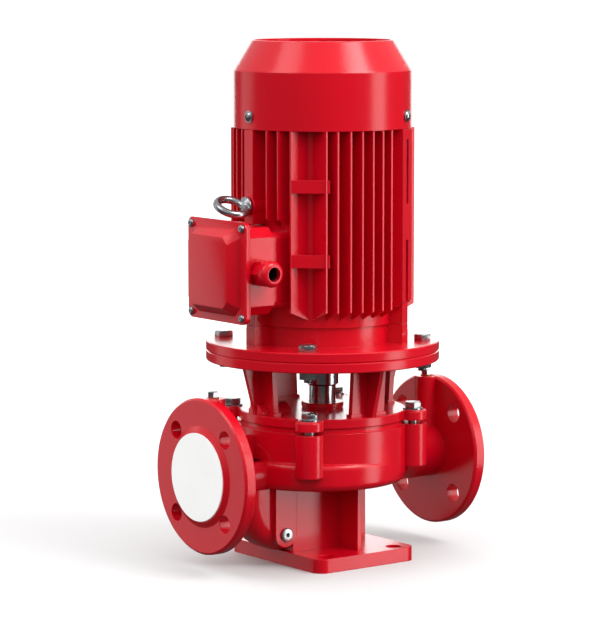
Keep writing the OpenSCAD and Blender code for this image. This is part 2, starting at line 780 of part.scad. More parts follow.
module drive_end_shield() {
    color(RED) difference() {
        union() {
            translate([0, 0, motor_z]) rim_disc(motor_flange_d / 2, motor_flange_t);
            translate([0, 0, motor_z - 3.6]) cylinder(d = motor_spigot_d, h = 4);
            translate([0, 0, drum_z - 1]) ring(drum_r, drum_r - 9, drum_h + 1);
            translate([0, 0, drum_z - 1])
                cylinder(r = drive_bearing_d / 2 + bearing_wall, h = drum_h + 1);
            translate([0, 0, drum_z]) ring(frame_bore_r - fit, frame_bore_r - 5, drum_h + 4);
            around(lug_angles, 0) shield_lug(95, drum_z - 1, drum_h + 1);
            around([0, 120, 240], 0) translate([drive_bearing_d / 2 + 2, -3, drum_z - 1])
                cube([32, 6, drum_h - 4]);
        }
        translate([0, 0, drive_bearing_z]) cylinder(d = drive_bearing_d + 2 * 0.02, h = 40);
        translate([0, 0, motor_z - 5]) cylinder(r = oil_seal_r, h = lip_z - motor_z + 5);
        translate([0, 0, motor_z]) cylinder(r = 19.5, h = 20);
        around(quarter_angles, motor_pcd / 2)
            translate([0, 0, motor_z - 1]) cylinder(r = m10_r + bolt_clear, h = 14, $fn = 40);
        around(lug_angles, shield_screw_r) {
            translate([0, 0, motor_z - 5])
                cylinder(r = m6_head_r + bolt_clear, h = drive_screw_sink + 5, $fn = 32);
            translate([0, 0, motor_z]) cylinder(r = m6_r + 0.4, h = drive_screw_l + 2, $fn = 32);
        }
    }
}

module drive_shield_screws() {
    color(STEEL) around(lug_angles, shield_screw_r) translate([0, 0, motor_z + drive_screw_sink])
        mirror([0, 0, 1]) socket_screw(m6_r, drive_screw_l, m6_head_r, m6_head_h);
}

module shaft_oil_seal() {
    color("#202224") translate([0, 0, lip_z - oil_seal_h])
        ring(oil_seal_r - fit, stub_d / 2 + 0.15, oil_seal_h);
}

// Grooved race of a ball bearing: outer or inner ring
module bearing_race(outer, inner, width, pitch_r, ball_r) {
    translate([0, 0, 0]) rotate_extrude() difference() {
        translate([inner, 0]) square([outer - inner, width]);
        translate([pitch_r, width / 2]) circle(r = ball_r + 0.15, $fn = 40);
    }
}

module bearing_balls(width, pitch_r, ball_r, count) {
    for (i = [0:count - 1]) rotate([0, 0, i * 360 / count]) translate([pitch_r, 0, width / 2])
        sphere(r = ball_r, $fn = 32);
}

drive_pitch_r = (drive_bearing_bore + drive_bearing_d) / 4;
drive_ball_r = 5.5;
rear_pitch_r = (rear_bearing_bore + rear_bearing_d) / 4;
rear_ball_r = 4.8;

module drive_bearing_outer() {
    color(STEEL) translate([0, 0, drive_bearing_z])
        bearing_race(drive_bearing_d / 2, drive_pitch_r + 3.2, drive_bearing_w, drive_pitch_r,
            drive_ball_r);
}

module drive_bearing_inner() {
    color(STEEL) translate([0, 0, drive_bearing_z])
        bearing_race(drive_pitch_r - 3.2, drive_bearing_bore / 2, drive_bearing_w, drive_pitch_r,
            drive_ball_r);
}

module drive_bearing_balls() {
    color(STEEL) translate([0, 0, drive_bearing_z])
        bearing_balls(drive_bearing_w, drive_pitch_r, drive_ball_r, 9);
}

module rear_bearing_outer() {
    color(STEEL) translate([0, 0, rear_bearing_z])
        bearing_race(rear_bearing_d / 2, rear_pitch_r + 2.8, rear_bearing_w, rear_pitch_r, rear_ball_r);
}

module rear_bearing_inner() {
    color(STEEL) translate([0, 0, rear_bearing_z])
        bearing_race(rear_pitch_r - 2.8, rear_bearing_bore / 2, rear_bearing_w, rear_pitch_r,
            rear_ball_r);
}

module rear_bearing_balls() {
    color(STEEL) translate([0, 0, rear_bearing_z])
        bearing_balls(rear_bearing_w, rear_pitch_r, rear_ball_r, 9);
}

washer_t = 1.2;

module bearing_preload_washer() {
    color(STEEL) translate([0, 0, rear_bearing_z + rear_bearing_w])
        ring(rear_bearing_d / 2 - 1, rear_pitch_r + 3.5, washer_t);
}

fin_z = frame_z + 8.5;
fin_slant = 9;
fin_top_z = cowl_z - 0.4;
wall_y_side = 54.8;
wall_x_side = 52.5;

// Cooling fin that stands across X at the given offset and reaches towards +Y
module fin(offset, bottom, top) {
    inner = sqrt(pow(frame_r - 4, 2) - offset * offset);
    root = sqrt(frame_r * frame_r - offset * offset);
    tip = sqrt(fin_tip_r * fin_tip_r - offset * offset);
    translate([offset, 0, 0]) rotate([90, 0, 90]) linear_extrude(fin_t, center = true)
        polygon([[inner, bottom], [root, bottom], [tip, bottom + fin_slant], [tip, top], [inner, top]]);
}

pad_fin_z = box_z + 53;
eye_rib_z = box_z + box_h / 2 + 0.5;
eye_face_x = fin_tip_r + 1;

// All fins of the frame
module frame_fins() {
    // Sides towards -Y and +Y, with the plain wall next to the corner channel
    for (s = [0, 1]) mirror([0, s, 0]) {
        for (k = [-4:1]) fin((k + 0.5) * fin_pitch, fin_z, fin_top_z);
        fin(-wall_y_side, fin_z, fin_top_z);
    }
    // Side towards -X, above the pad of the terminal box
    rotate([0, 0, 90]) {
        for (k = [-3, -2, 1, 2, 3]) fin(k * 13.2, pad_fin_z - fin_slant, fin_top_z);
        for (s = [-1, 1]) fin(s * wall_x_side, fin_z, fin_top_z);
    }
    // Side towards +X
    rotate([0, 0, -90]) for (k = [-5:4]) fin((k + 0.5) * fin_pitch, fin_z, fin_top_z);
}

bar_low_z = frame_z + 64.5;
bar_high_z = frame_z + 142.3;
bar_h = 13.8;

// Cross bars that bridge the two corner channels
module channel_bars() {
    for (s = [-1, 1], z = [bar_low_z, bar_high_z])
        rotate([0, 0, 180 + s * 45.4]) translate([fin_tip_r - 5.6, -20.2, z]) cube([3.6, 40.4, bar_h]);
}

rail_z = frame_z + 18.5;
slot_low_z = rail_z + 2.5;
slot_l = 68;
slot_high_z = fin_top_z - 11 - slot_l;

// Mounting rail with its two slots, on +X
module frame_rail() {
    chamfer = 6;
    difference() {
        translate([0, rail_w / 2, 0]) to_minus_y() linear_extrude(rail_w)
            polygon([[frame_r - 5, rail_z], [fin_tip_r - chamfer, rail_z], [fin_tip_r, rail_z + chamfer],
                     [fin_tip_r, fin_top_z], [frame_r - 5, fin_top_z]]);
        for (z = [slot_low_z, slot_high_z]) translate([frame_r + 3, -rail_slot_w / 2, z])
            cube([fin_tip_r - frame_r, rail_slot_w, slot_l]);
    }
}

module motor_frame() {
    color(RED) difference() {
        union() {
            translate([0, 0, frame_z]) cylinder(r = frame_r, h = frame_end_z - frame_z);
            frame_fins();
            channel_bars();
            around([60, 300], 0) frame_rail();
            // Lugs for the screws of both shields
            around(lug_angles, 0) {
                shield_lug(95, frame_z + lug_seam, rail_z - frame_z + 6);
                shield_lug(shield_lug_r, fin_top_z - 12, frame_end_z - lug_seam - fin_top_z + 12);
            }
            // Rib and boss that carry the lifting eye
            translate([-fin_tip_r, -lug_w / 2, eye_rib_z]) cube([30, lug_w, fin_top_z - eye_rib_z]);
            translate([-eye_face_x + 22, 0, eye_z]) to_minus_x() cylinder(r = 9.5, h = 21);
            translate([-eye_face_x + 2.2, 0, eye_z]) to_minus_x() cylinder(r = 11.3, h = 2.2);
            // Pad of the terminal box
            translate([-pad_x, 0, box_z]) to_plus_x()
                rounded_plate(2 * pad_half_h, 2 * pad_half_w, 8, pad_x - 55);
        }
        translate([0, 0, frame_z - 1]) cylinder(r = frame_bore_r, h = frame_end_z - frame_z + 2);
        translate([-pad_x - 1, 0, box_z]) to_plus_x() cylinder(r = 13, h = 40);
        around(lug_angles, shield_screw_r)
            translate([0, 0, frame_z - 1]) cylinder(r = m6_r + fit, h = 19, $fn = 32);
        around(lug_angles, rear_screw_r)
            translate([0, 0, frame_end_z - 15]) cylinder(r = m6_r + fit, h = 16, $fn = 32);
        translate([-eye_face_x - 1, 0, eye_z]) to_plus_x() cylinder(r = 5 + fit, h = 17, $fn = 32);
        for (sy = [-1, 1], sz = [-1, 1])
            translate([-pad_x - 1, sy * 30, box_z + sz * 30]) to_plus_x()
                cylinder(r = 2.5 + fit, h = 13, $fn = 24);
    }
}

slots = 24;
slot_depth = 14;

module stator_core() {
    color("#8a8f94") translate([0, 0, stack_z]) difference() {
        ring(frame_bore_r - 0.05, rotor_r + air_gap, stack_l);
        for (i = [0:slots - 1]) rotate([0, 0, i * 360 / slots])
            translate([rotor_r + air_gap + 2, -2.6, -1]) cube([slot_depth, 5.2, stack_l + 2]);
    }
}

module stator_windings() {
    overhang = 24;
    in_r = rotor_r + air_gap + 3;
    color("#b5652a") {
        for (i = [0:slots - 1]) rotate([0, 0, i * 360 / slots])
            translate([in_r, -2.3, stack_z - eps]) cube([slot_depth - 2, 4.6, stack_l + 2 * eps]);
        for (z = [stack_z - overhang, stack_z + stack_l]) translate([0, 0, z])
            rotate_extrude() union() {
                translate([in_r, 3]) square([slot_depth + 4, overhang - 6]);
                translate([in_r + 3, 0]) square([slot_depth - 2, overhang]);
            }
    }
}

module rotor_core() {
    color("#7d8287") translate([0, 0, stack_z]) ring(rotor_r, rotor_shaft_r, stack_l);
}

module rotor_end_rings() {
    ring_h = 12;
    color("#d5d8da") for (s = [0, 1]) translate([0, 0, stack_z + s * stack_l]) mirror([0, 0, 1 - s]) {
        ring(rotor_r - 1, rotor_r - 14, ring_h);
        around([0:30:330], rotor_r - 10) translate([0, -1.2, ring_h - eps]) cube([8, 2.4, 8]);
    }
}

shaft_end_z = fan_z + fan_hub_h + 6;
drive_seat_top_z = drive_bearing_z + drive_bearing_w + 2;
rear_shoulder_z = rear_bearing_z - 4;

module shaft() {
    chamfer = 2;
    color(STEEL) difference() {
        rotate_extrude() polygon([
            [0, impeller_z - impeller_washer_t - impeller_nut_h - 2],
            [shaft_thread_r - 1, impeller_z - impeller_washer_t - impeller_nut_h - 2],
            [shaft_thread_r, impeller_z - impeller_washer_t - impeller_nut_h - 1],
            [shaft_thread_r, impeller_z],
            [hub_bore_r, impeller_z], [hub_bore_r, hub_top_z],
            [seal_shaft_d / 2, hub_top_z], [seal_shaft_d / 2, stub_step_z],
            [stub_d / 2 - chamfer, stub_step_z], [stub_d / 2, stub_step_z + chamfer],
            [stub_d / 2, drive_bearing_z], [drive_bearing_bore / 2 - 0.01, drive_bearing_z],
            [drive_bearing_bore / 2 - 0.01, drive_bearing_z + drive_bearing_w],
            [rotor_shaft_r, drive_bearing_z + drive_bearing_w],
            [rotor_shaft_r, rear_shoulder_z], [rear_bearing_bore / 2 + 2, rear_shoulder_z],
            [rear_bearing_bore / 2 + 2, rear_bearing_z],
            [rear_bearing_bore / 2 - 0.01, rear_bearing_z],
            [rear_bearing_bore / 2 - 0.01, rear_bearing_z + rear_bearing_w + 4],
            [fan_shaft_r, rear_bearing_z + rear_bearing_w + 4],
            [fan_shaft_r, shaft_end_z - 1], [fan_shaft_r - 1, shaft_end_z], [0, shaft_end_z]]);
        translate([key_out_r - key_w, -key_w / 2 - fit, impeller_z - 1])
            cube([20, key_w + 2 * fit, key_l + 3]);
        translate([fan_shaft_r - 4, -4 - fit, fan_z - 1]) cube([20, 8 + 2 * fit, fan_hub_h + 2]);
        translate([0, 0, fan_z + fan_hub_h + 0.2]) ring(fan_shaft_r + 2, fan_shaft_r - 1.2, 1.9);
    }
}

module rear_end_shield() {
    hub_top = rear_bearing_z + rear_bearing_w + 4;
    seat_z = frame_end_z - 6;
    seat_top = rear_bearing_z + rear_bearing_w + washer_t;
    color(RED) difference() {
        union() {
            translate([0, 0, frame_end_z]) cylinder(r = frame_r, h = 8);
            translate([0, 0, frame_end_z - 5]) cylinder(r = frame_bore_r - fit, h = 6);
            translate([0, 0, frame_end_z])
                cylinder(r = rear_bearing_d / 2 + bearing_wall, h = hub_top - frame_end_z);
            around(lug_angles, 0) shield_lug(shield_lug_r, frame_end_z, rear_shield_t);
            around([0, 60, 120, 180, 240, 300], 0)
                translate([rear_bearing_d / 2 + 2, -2.5, frame_end_z + 7])
                    cube([frame_r - rear_bearing_d / 2 - 6, 5, 6]);
        }
        translate([0, 0, seat_z]) cylinder(d = rear_bearing_d + 0.04, h = seat_top - seat_z);
        translate([0, 0, frame_end_z]) cylinder(r = rear_bearing_bore / 2 + 1, h = 60);
        translate([0, 0, seat_z]) ring(frame_bore_r - 7, rear_bearing_d / 2 + bearing_wall, 6);
        around(lug_angles, rear_screw_r) translate([0, 0, frame_end_z - 1])
            cylinder(r = 3.4, h = 30, $fn = 32);
        around(lug_angles, 0)
            translate([shield_lug_r - 12, 0, cowl_screw_z]) to_plus_x()
                cylinder(r = 2.5 + fit, h = 20, $fn = 32);
    }
}

cowl_screw_z = cowl_z + 13.6;

module rear_shield_screws() {
    color(STEEL) around(lug_angles, rear_screw_r)
        translate([0, 0, frame_end_z + rear_shield_t])
            socket_screw(m6_r, rear_shield_t + 13, m6_head_r, m6_head_h);
}

blades = 8;

module cooling_fan() {
    plate_z = fan_z + 3;
    color("#2b2d30") difference() {
        union() {
            translate([0, 0, fan_z]) cylinder(r = fan_hub_r, h = fan_hub_h);
            translate([0, 0, plate_z]) cylinder(r = fan_r - 8, h = 2.5);
            for (i = [0:blades - 1]) rotate([0, 0, i * 360 / blades])
                translate([fan_hub_r - 2, -1.25, plate_z]) cube([fan_r - fan_hub_r + 2, 2.5, 22]);
        }
        translate([0, 0, fan_z - 1]) cylinder(r = fan_shaft_r + fit, h = 60);
        translate([0, -4 - fit, fan_z - 1]) cube([fan_shaft_r + 3.4, 8 + 2 * fit, 60]);
        translate([0, 0, fan_z + fan_hub_h]) cylinder(r = fan_hub_r - 1, h = 30);
    }
}

module fan_key() {
    color(STEEL) translate([fan_shaft_r - 4, -4, fan_z]) cube([7.2, 8, fan_hub_h - 1]);
}

module fan_circlip() {
    color("#4a4d52") translate([0, 0, fan_z + fan_hub_h + 0.4]) difference() {
        ring(fan_shaft_r + 3, fan_shaft_r - 1.1, 1.5);
        translate([0, -2.5, -1]) cube([20, 5, 4]);
    }
}

grille_z = cowl_top_z - 4.5;

module fan_cowl() {
    lip = 1.6;
    s = cowl_sheet;
    spoke_w = 3.6;
    color(RED) difference() {
        union() {
            rotate_extrude() polygon([
                [cowl_r - s, cowl_z], [cowl_r, cowl_z], [cowl_r, cowl_shoulder_z - 1],
                [cowl_r - 0.8, cowl_shoulder_z + 0.6], [cowl_top_r, cowl_top_z - 0.6],
                [cowl_top_r - 0.6, cowl_top_z], [cowl_top_r - lip - s, cowl_top_z],
                [cowl_top_r - lip - s, cowl_top_z - 4], [cowl_top_r - lip + 1, grille_z - 1],
                [cowl_r - s - 0.6, cowl_shoulder_z - 1]]);
            // Grille of the recessed top: rings and spokes with a plain centre
            translate([0, 0, grille_z - 1]) {
                cylinder(r = 16, h = s);
                for (r = [22:8:70]) ring(r + 1.6, r - 1.6, s);
                around([0:60:300], 0) translate([10, -spoke_w / 2, 0])
                    cube([cowl_top_r - 12.5, spoke_w, s]);
            }
        }
        around(lug_angles, cowl_r - 5)
            translate([0, 0, cowl_screw_z]) to_plus_x() cylinder(r = 2.5 + fit, h = 10, $fn = 32);
    }
}

module cowl_screws() {
    shank_l = cowl_r + 0.1 - cowl_screw_tip_r;
    color(STEEL) around(lug_angles, 0) translate([cowl_r + 0.1, 0, cowl_screw_z]) to_plus_x() {
        translate([0, 0, -shank_l]) cylinder(r = 2.5, h = shank_l + 0.5, $fn = 32);
        difference() {
            union() {
                cylinder(d = cowl_screw_head_d, h = 1.2, $fn = 40);
                intersection() {
                    translate([0, 0, -2.2]) sphere(d = cowl_screw_head_d, $fn = 40);
                    cylinder(d = cowl_screw_head_d - 1.5, h = 5, $fn = 40);
                }
            }
            translate([0, 0, 2.6]) for (a = [0, 90]) rotate([0, 0, a]) translate([-3, -0.6, 0])
                cube([6, 1.2, 5]);
        }
    }
}

eye_tilt = 27;

module lifting_eye() {
    collar_x = -eye_face_x;
    centre_x = collar_x - eye_wire_d / 2 - 0.2 - eye_ring_r;
    color("#dfe1e3") union() {
        translate([centre_x, 0, eye_z]) rotate([eye_tilt, 0, 0])
            rotate_extrude($fn = 64) translate([eye_ring_r, 0]) circle(d = eye_wire_d, $fn = 32);
        translate([collar_x, 0, eye_z]) to_minus_x() {
            cylinder(r = 9.5, h = 2.2);
            translate([0, 0, 2.2 - eps]) cylinder(r1 = 9.5, r2 = 4, h = 3.4);
        }
        translate([collar_x - eps, 0, eye_z]) to_plus_x() cylinder(r = 5, h = 15, $fn = 32);
    }
}

// Everything of the terminal box is drawn on -X, with the box centre at the given height
module on_box(x) {
    translate([-x, 0, box_z]) to_minus_x() children();
}

module terminal_box() {
    color(RED) difference() {
        union() {
            on_box(box_back_x) octagon_plate(box_h, box_w, box_chamfer, box_depth + box_flange_t);
            on_box(box_front_x) rounded_plate(lid_h - 1.5, lid_w - 1.5, lid_corner_r, box_flange_t);
        }
        on_box(box_back_x + box_wall)
            octagon_plate(box_h - 2 * box_wall, box_w - 2 * box_wall, box_chamfer - 2, box_depth + 10);
        on_box(box_back_x - 1) cylinder(r = 13, h = 10);
        for (sy = [-1, 1], sz = [-1, 1])
            on_box(box_back_x - 1) translate([sz * 30, sy * 30, 0])
                cylinder(r = 2.5 + bolt_clear, h = 10, $fn = 24);
        for (sy = [-1, 1], sz = [-1, 1])
            on_box(box_front_x - 1) translate([sz * lid_screw_z, sy * lid_screw_y, 0])
                cylinder(r = 1.5 + fit, h = 10, $fn = 24);
        translate([-gland_x, -box_w / 2 - 1, box_z]) rotate([-90, 0, 0]) cylinder(r = 10 + fit, h = 10);
    }
}

module terminal_box_screws() {
    color(STEEL) for (sy = [-1, 1], sz = [-1, 1])
        on_box(box_back_x + box_wall) translate([sz * 30, sy * 30, 0]) socket_screw(2.5, 14, 4.2, 4);
}

module terminal_box_gasket() {
    color("#5a1015") on_box(box_front_x + box_flange_t) difference() {
        rounded_plate(lid_h - 2, lid_w - 2, lid_corner_r, box_gasket_t);
        translate([0, 0, -1])
            octagon_plate(box_h - 2 * box_wall, box_w - 2 * box_wall, box_chamfer - 2, box_gasket_t + 2);
        for (sy = [-1, 1], sz = [-1, 1]) translate([sz * lid_screw_z, sy * lid_screw_y, -1])
            cylinder(r = 1.5 + bolt_clear, h = 5, $fn = 24);
    }
}

// Bevelled panel between two octagons
module bevel_panel(low_x, low_y, low_c, high_x, high_y, high_c, height) {
    hull() {
        octagon_plate(low_x, low_y, low_c, eps);
        translate([0, 0, height - eps]) octagon_plate(high_x, high_y, high_c, eps);
    }
}

module terminal_box_lid() {
    panel_low_x = lid_h - 15.7;
    panel_low_y = lid_w - 20.6;
    panel_top_x = panel_low_x - 16.8;
    panel_top_y = panel_low_y - 21.4;
    color(RED) difference() {
        union() {
            on_box(lid_x) rounded_plate(lid_h, lid_w, lid_corner_r + 0.5, lid_t);
            on_box(lid_x + lid_t - eps)
                bevel_panel(panel_low_x, panel_low_y, 9, panel_top_x, panel_top_y, 6, lid_panel_h);
        }
        on_box(lid_x - eps) octagon_plate(panel_low_x - 7, panel_low_y - 7, 7, lid_t - 1);
        on_box(lid_x + lid_t - 1.5)
            bevel_panel(panel_low_x - 8, panel_low_y - 8, 8, panel_top_x - 4, panel_top_y - 4, 5,
                lid_panel_h - 1.5);
        for (sy = [-1, 1], sz = [-1, 1]) on_box(lid_x - 1)
            translate([sz * lid_screw_z, sy * lid_screw_y, 0])
                cylinder(r = 1.5 + bolt_clear, h = 10, $fn = 24);
    }
}

module lid_screws() {
    head_r = 3.75;
    color(STEEL) for (sy = [-1, 1], sz = [-1, 1]) on_box(lid_x + lid_t)
        translate([sz * lid_screw_z, sy * lid_screw_y, 0]) {
            translate([0, 0, -lid_t - 2.6]) cylinder(r = 1.5, h = lid_t + 2.7, $fn = 24);
            difference() {
                intersection() {
                    cylinder(r = head_r, h = 3, $fn = 32);
                    translate([0, 0, -2.6]) sphere(r = 5, $fn = 40);
                }
                translate([0, 0, 1.6]) for (a = [0, 90]) rotate([0, 0, a])
                    translate([-2.2, -0.45, 0]) cube([4.4, 0.9, 3]);
            }
        }
}

board_x = box_back_x + box_wall + 4.5;
board_h = 34;
board_w = 50;
board_t = 7;
stud_rows = [-9, 9];
stud_cols = [-16, 0, 16];
m4_r = 2;
m4_nut_af = 7;

module terminal_board() {
    color("#2a2622") difference() {
        union() {
            on_box(board_x) rounded_plate(board_h, board_w, 3, board_t);
            for (sy = [-1, 1]) on_box(box_back_x + box_wall)
                translate([0, sy * (board_w / 2 - 4), 0]) cylinder(r = 3, h = 6, $fn = 24);
        }
        for (r = stud_rows, c = stud_cols) on_box(board_x - 1) translate([r, c, 0])
            cylinder(r = m4_r + fit, h = board_t + 5, $fn = 24);
    }
}

module terminal_studs() {
    color("#c9a24a") for (r = stud_rows, c = stud_cols) on_box(board_x - 1.5) translate([r, c, 0]) {
        cylinder(r = m4_r, h = board_t + 13, $fn = 24);
        hex_prism(m4_nut_af, 1.5);
    }
}

module terminal_nuts() {
    color("#c9a24a") for (r = stud_rows, c = stud_cols) on_box(board_x + board_t)
        translate([r, c, 0]) difference() {
        hex_prism(m4_nut_af, 3.2);
        translate([0, 0, -1]) cylinder(r = m4_r + fit, h = 6, $fn = 24);
    }
}

// Everything of the cable gland is drawn on -Y, from the box side outwards
module on_gland(y) {
    translate([-gland_x, -box_w / 2 - y, box_z]) to_minus_y() children();
}

module gland_body() {
    color(RED) difference() {
        union() {
            on_gland(0) cylinder(r = 14, h = 3);
            on_gland(-box_wall - 7) cylinder(r = 10, h = box_wall + 22, $fn = 48);
        }
        on_gland(-30) cylinder(d = gland_hole_d, h = 60, $fn = 48);
        on_gland(8) cylinder(r = 8.8, h = 20, $fn = 48);
    }
}

module gland_seal() {
    color("#1c1c1e") on_gland(8) ring(8.6, gland_hole_d / 2 - 0.6, 13);
}

module gland_nut() {
    dome_r = gland_d / 2;
    hex_y = 5.6;
    hex_h = 10.5;
    end_y = 28;
    round_r = 5.5;
    color(RED) difference() {
        union() {
            on_gland(hex_y) hex_prism(25, hex_h);
            on_gland(hex_y + hex_h - eps) rotate_extrude() union() {
                square([dome_r - round_r, end_y - hex_y - hex_h]);
                square([dome_r, end_y - hex_y - hex_h - round_r]);
                translate([dome_r - round_r, end_y - hex_y - hex_h - round_r])
                    circle(r = round_r, $fn = 48);
            }
        }
        on_gland(0) cylinder(r = 10 + fit, h = 22.5, $fn = 48);
        on_gland(0) cylinder(d = gland_hole_d, h = 60, $fn = 48);
        // Room that the rounded rim leaves below the hexagon
        on_gland(hex_y - 20) cylinder(r = 20, h = 20);
    }
}

module gland_locknut() {
    color("#3a3d42") on_gland(-box_wall - 5) difference() {
        hex_prism(24, 5);
        translate([0, 0, -1]) cylinder(r = 10 + fit, h = 8, $fn = 48);
    }
}

module drain_plug() {
    head_h = 5.6;
    color(STEEL) translate([drain_x, -drain_face_y, drain_z]) to_minus_y() difference() {
        union() {
            translate([0, 0, -12]) cylinder(r = 5, h = 12 + eps, $fn = 40);
            cylinder(d = drain_plug_d, h = head_h - 1, $fn = 48);
            translate([0, 0, head_h - 1 - eps])
                cylinder(d1 = drain_plug_d, d2 = drain_plug_d - 2, h = 1, $fn = 48);
        }
        translate([0, 0, 1.5]) hex_prism(drain_socket_af, 10);
    }
}

module at_gauge_tops() {
    for (s = [-1, 1]) translate([s * gauge_x, 0, gauge_top_z]) children();
}

module gauge_plugs() {
    color(STEEL) at_gauge_tops() translate([0, 0, gauge_washer_t])
        hex_bolt(gauge_thread_r, gauge_thread_l, gauge_plug_af, 6);
}

module gauge_plug_washers() {
    color("#b87333") at_gauge_tops() ring(gauge_washer_r, gauge_thread_r + 0.2, gauge_washer_t);
}

module suction_port_cover() {
    face = port_span / 2 + port_face_h;
    color("#f7f7f5") translate([-face, 0, port_z]) to_minus_x() {
        translate([0, 0, 0.05]) cylinder(d = port_face_d - 3, h = 1.1);
        translate([0, 0, -12]) ring(port_bore / 2 - 0.5, port_bore / 2 - 2.5, 12.1);
    }
}

pump_casing();
wear_ring();
impeller();
impeller_key();
impeller_washer();
impeller_nut();
seal_spring();
seal_head();
seal_seat();
seal_seat_gasket();
gland_ring();
casing_gasket();
lantern();
casing_bolts();
casing_bolt_washers();
motor_flange_bolts();
motor_flange_nuts();
drive_end_shield();
drive_shield_screws();
shaft_oil_seal();
drive_bearing_outer();
drive_bearing_inner();
drive_bearing_balls();
motor_frame();
stator_core();
stator_windings();
rotor_core();
rotor_end_rings();
shaft();
rear_bearing_outer();
rear_bearing_inner();
rear_bearing_balls();
bearing_preload_washer();
rear_end_shield();
rear_shield_screws();
cooling_fan();
fan_key();
fan_circlip();
fan_cowl();
cowl_screws();
lifting_eye();
terminal_box();
terminal_box_screws();
terminal_box_gasket();
terminal_box_lid();
lid_screws();
terminal_board();
terminal_studs();
terminal_nuts();
gland_body();
gland_seal();
gland_nut();
gland_locknut();
drain_plug();
gauge_plugs();
gauge_plug_washers();
suction_port_cover();
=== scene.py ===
import json
import math

import bpy
from mathutils import Matrix, Vector


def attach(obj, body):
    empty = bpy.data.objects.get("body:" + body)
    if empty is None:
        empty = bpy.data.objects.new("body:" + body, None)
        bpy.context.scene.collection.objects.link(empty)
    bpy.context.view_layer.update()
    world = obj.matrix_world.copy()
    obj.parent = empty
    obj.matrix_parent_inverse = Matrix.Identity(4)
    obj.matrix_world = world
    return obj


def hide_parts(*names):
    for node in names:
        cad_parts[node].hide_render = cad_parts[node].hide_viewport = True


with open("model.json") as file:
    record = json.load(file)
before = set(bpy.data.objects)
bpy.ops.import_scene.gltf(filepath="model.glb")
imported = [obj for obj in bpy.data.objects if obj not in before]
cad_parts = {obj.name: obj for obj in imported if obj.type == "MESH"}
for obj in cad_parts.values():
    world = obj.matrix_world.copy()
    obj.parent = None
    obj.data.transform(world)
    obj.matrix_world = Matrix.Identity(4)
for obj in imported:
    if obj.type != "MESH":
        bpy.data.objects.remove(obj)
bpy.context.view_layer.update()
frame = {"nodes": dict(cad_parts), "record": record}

nodes = frame["nodes"]
millimetre = 0.001


# sRGB hex to linear RGBA
def fromHex(code):
    parts = [int(code[i:i + 2], 16) / 255 for i in (1, 3, 5)]
    return [c / 12.92 if c <= 0.04045 else ((c + 0.055) / 1.055) ** 2.4 for c in parts] + [1.0]


# Camera, at the photograph's view
photoView = {
    "turn": -36.7,          # degrees about Z from the -Y side, towards the suction port
    "pitch": 6.9,           # degrees above the horizon
    "distance": 3.1731,     # metres from the aim point
    "focalPixels": 2961.9,
    "imageHeight": 630,
    "sideShift": -0.0161,   # aim point, metres to the right of the shaft axis
    "aimHeight": 0.2616,
    "sensor": 36.0,
    "clipEnd": 50,
}


def addCamera(view):
    turn, pitch = math.radians(view["turn"]), math.radians(view["pitch"])
    back = Vector((math.sin(turn) * math.cos(pitch), -math.cos(turn) * math.cos(pitch), math.sin(pitch)))
    right = Vector((math.cos(turn), math.sin(turn), 0))
    up = back.cross(right)
    aim = right * view["sideShift"] + Vector((0, 0, view["aimHeight"]))
    lens = bpy.data.cameras.new("photoCamera")
    lens.sensor_width = view["sensor"]
    lens.lens = view["focalPixels"] * view["sensor"] / view["imageHeight"]
    lens.clip_end = view["clipEnd"]
    camera = bpy.data.objects.new("photoCamera", lens)
    bpy.context.scene.collection.objects.link(camera)
    pose = Matrix((right, up, back)).transposed().to_4x4()
    pose.translation = aim + back * view["distance"]
    camera.matrix_world = pose
    bpy.context.scene.camera = camera
    return back


viewBack = addCamera(photoView)
print("camera placed")


# One small helper adds every shader node, with its settings and its links
def addNode(tree, kind, settings=None, links=None):
    made = tree.nodes.new(kind)
    for key, value in (settings or {}).items():
        if isinstance(key, int) or key in made.inputs:
            made.inputs[key].default_value = value
        else:
            setattr(made, key, value)
    for key, source in (links or {}).items():
        tree.links.new(source, made.inputs[key])
    return made


# Studio: pale floor under a soft overhead dome, and tall panels that the gloss paint mirrors
studio = {
    "floorSize": 16.0,
    "floorColour": "#cdcdcd",
    "floorRoughness": 0.8,
    "floorGlow": 0.45,      # keeps the far paper white, fading in between these distances from the pump
    "glowFrom": (0.45, 1.7),
    "backdrop": 1.0,        # what the camera sees past the floor
    "domeLight": 1.5,       # radiance of the overhead dome
    "domeMirrored": 0.36,   # share of the dome that gloss and metal mirror
    "domeEdge": (0.02, 0.4),     # sine of the elevation where the dome fades in
    "lowLight": 0.2,        # radiance of the room near the horizon
    "panelAim": 0.28,       # height that the panels are turned to
    # name: (azimuth from the camera, elevation, distance, width, height, radiance)
    "panels": {
        "keySoftbox": (58, 46, 2.6, 1.2, 1.2, 8.5),
        "leftSoftbox": (-62, 48, 2.6, 1.2, 1.2, 2.8),
        "rightPanel": (74, 0, 1.7, 0.6, 1.5, 3.8),
        "leftPanel": (-111, 0, 1.9, 0.9, 1.5, 0.75),
        "backPanel": (180, 8, 2.4, 2.6, 0.9, 2.0),
    },
}


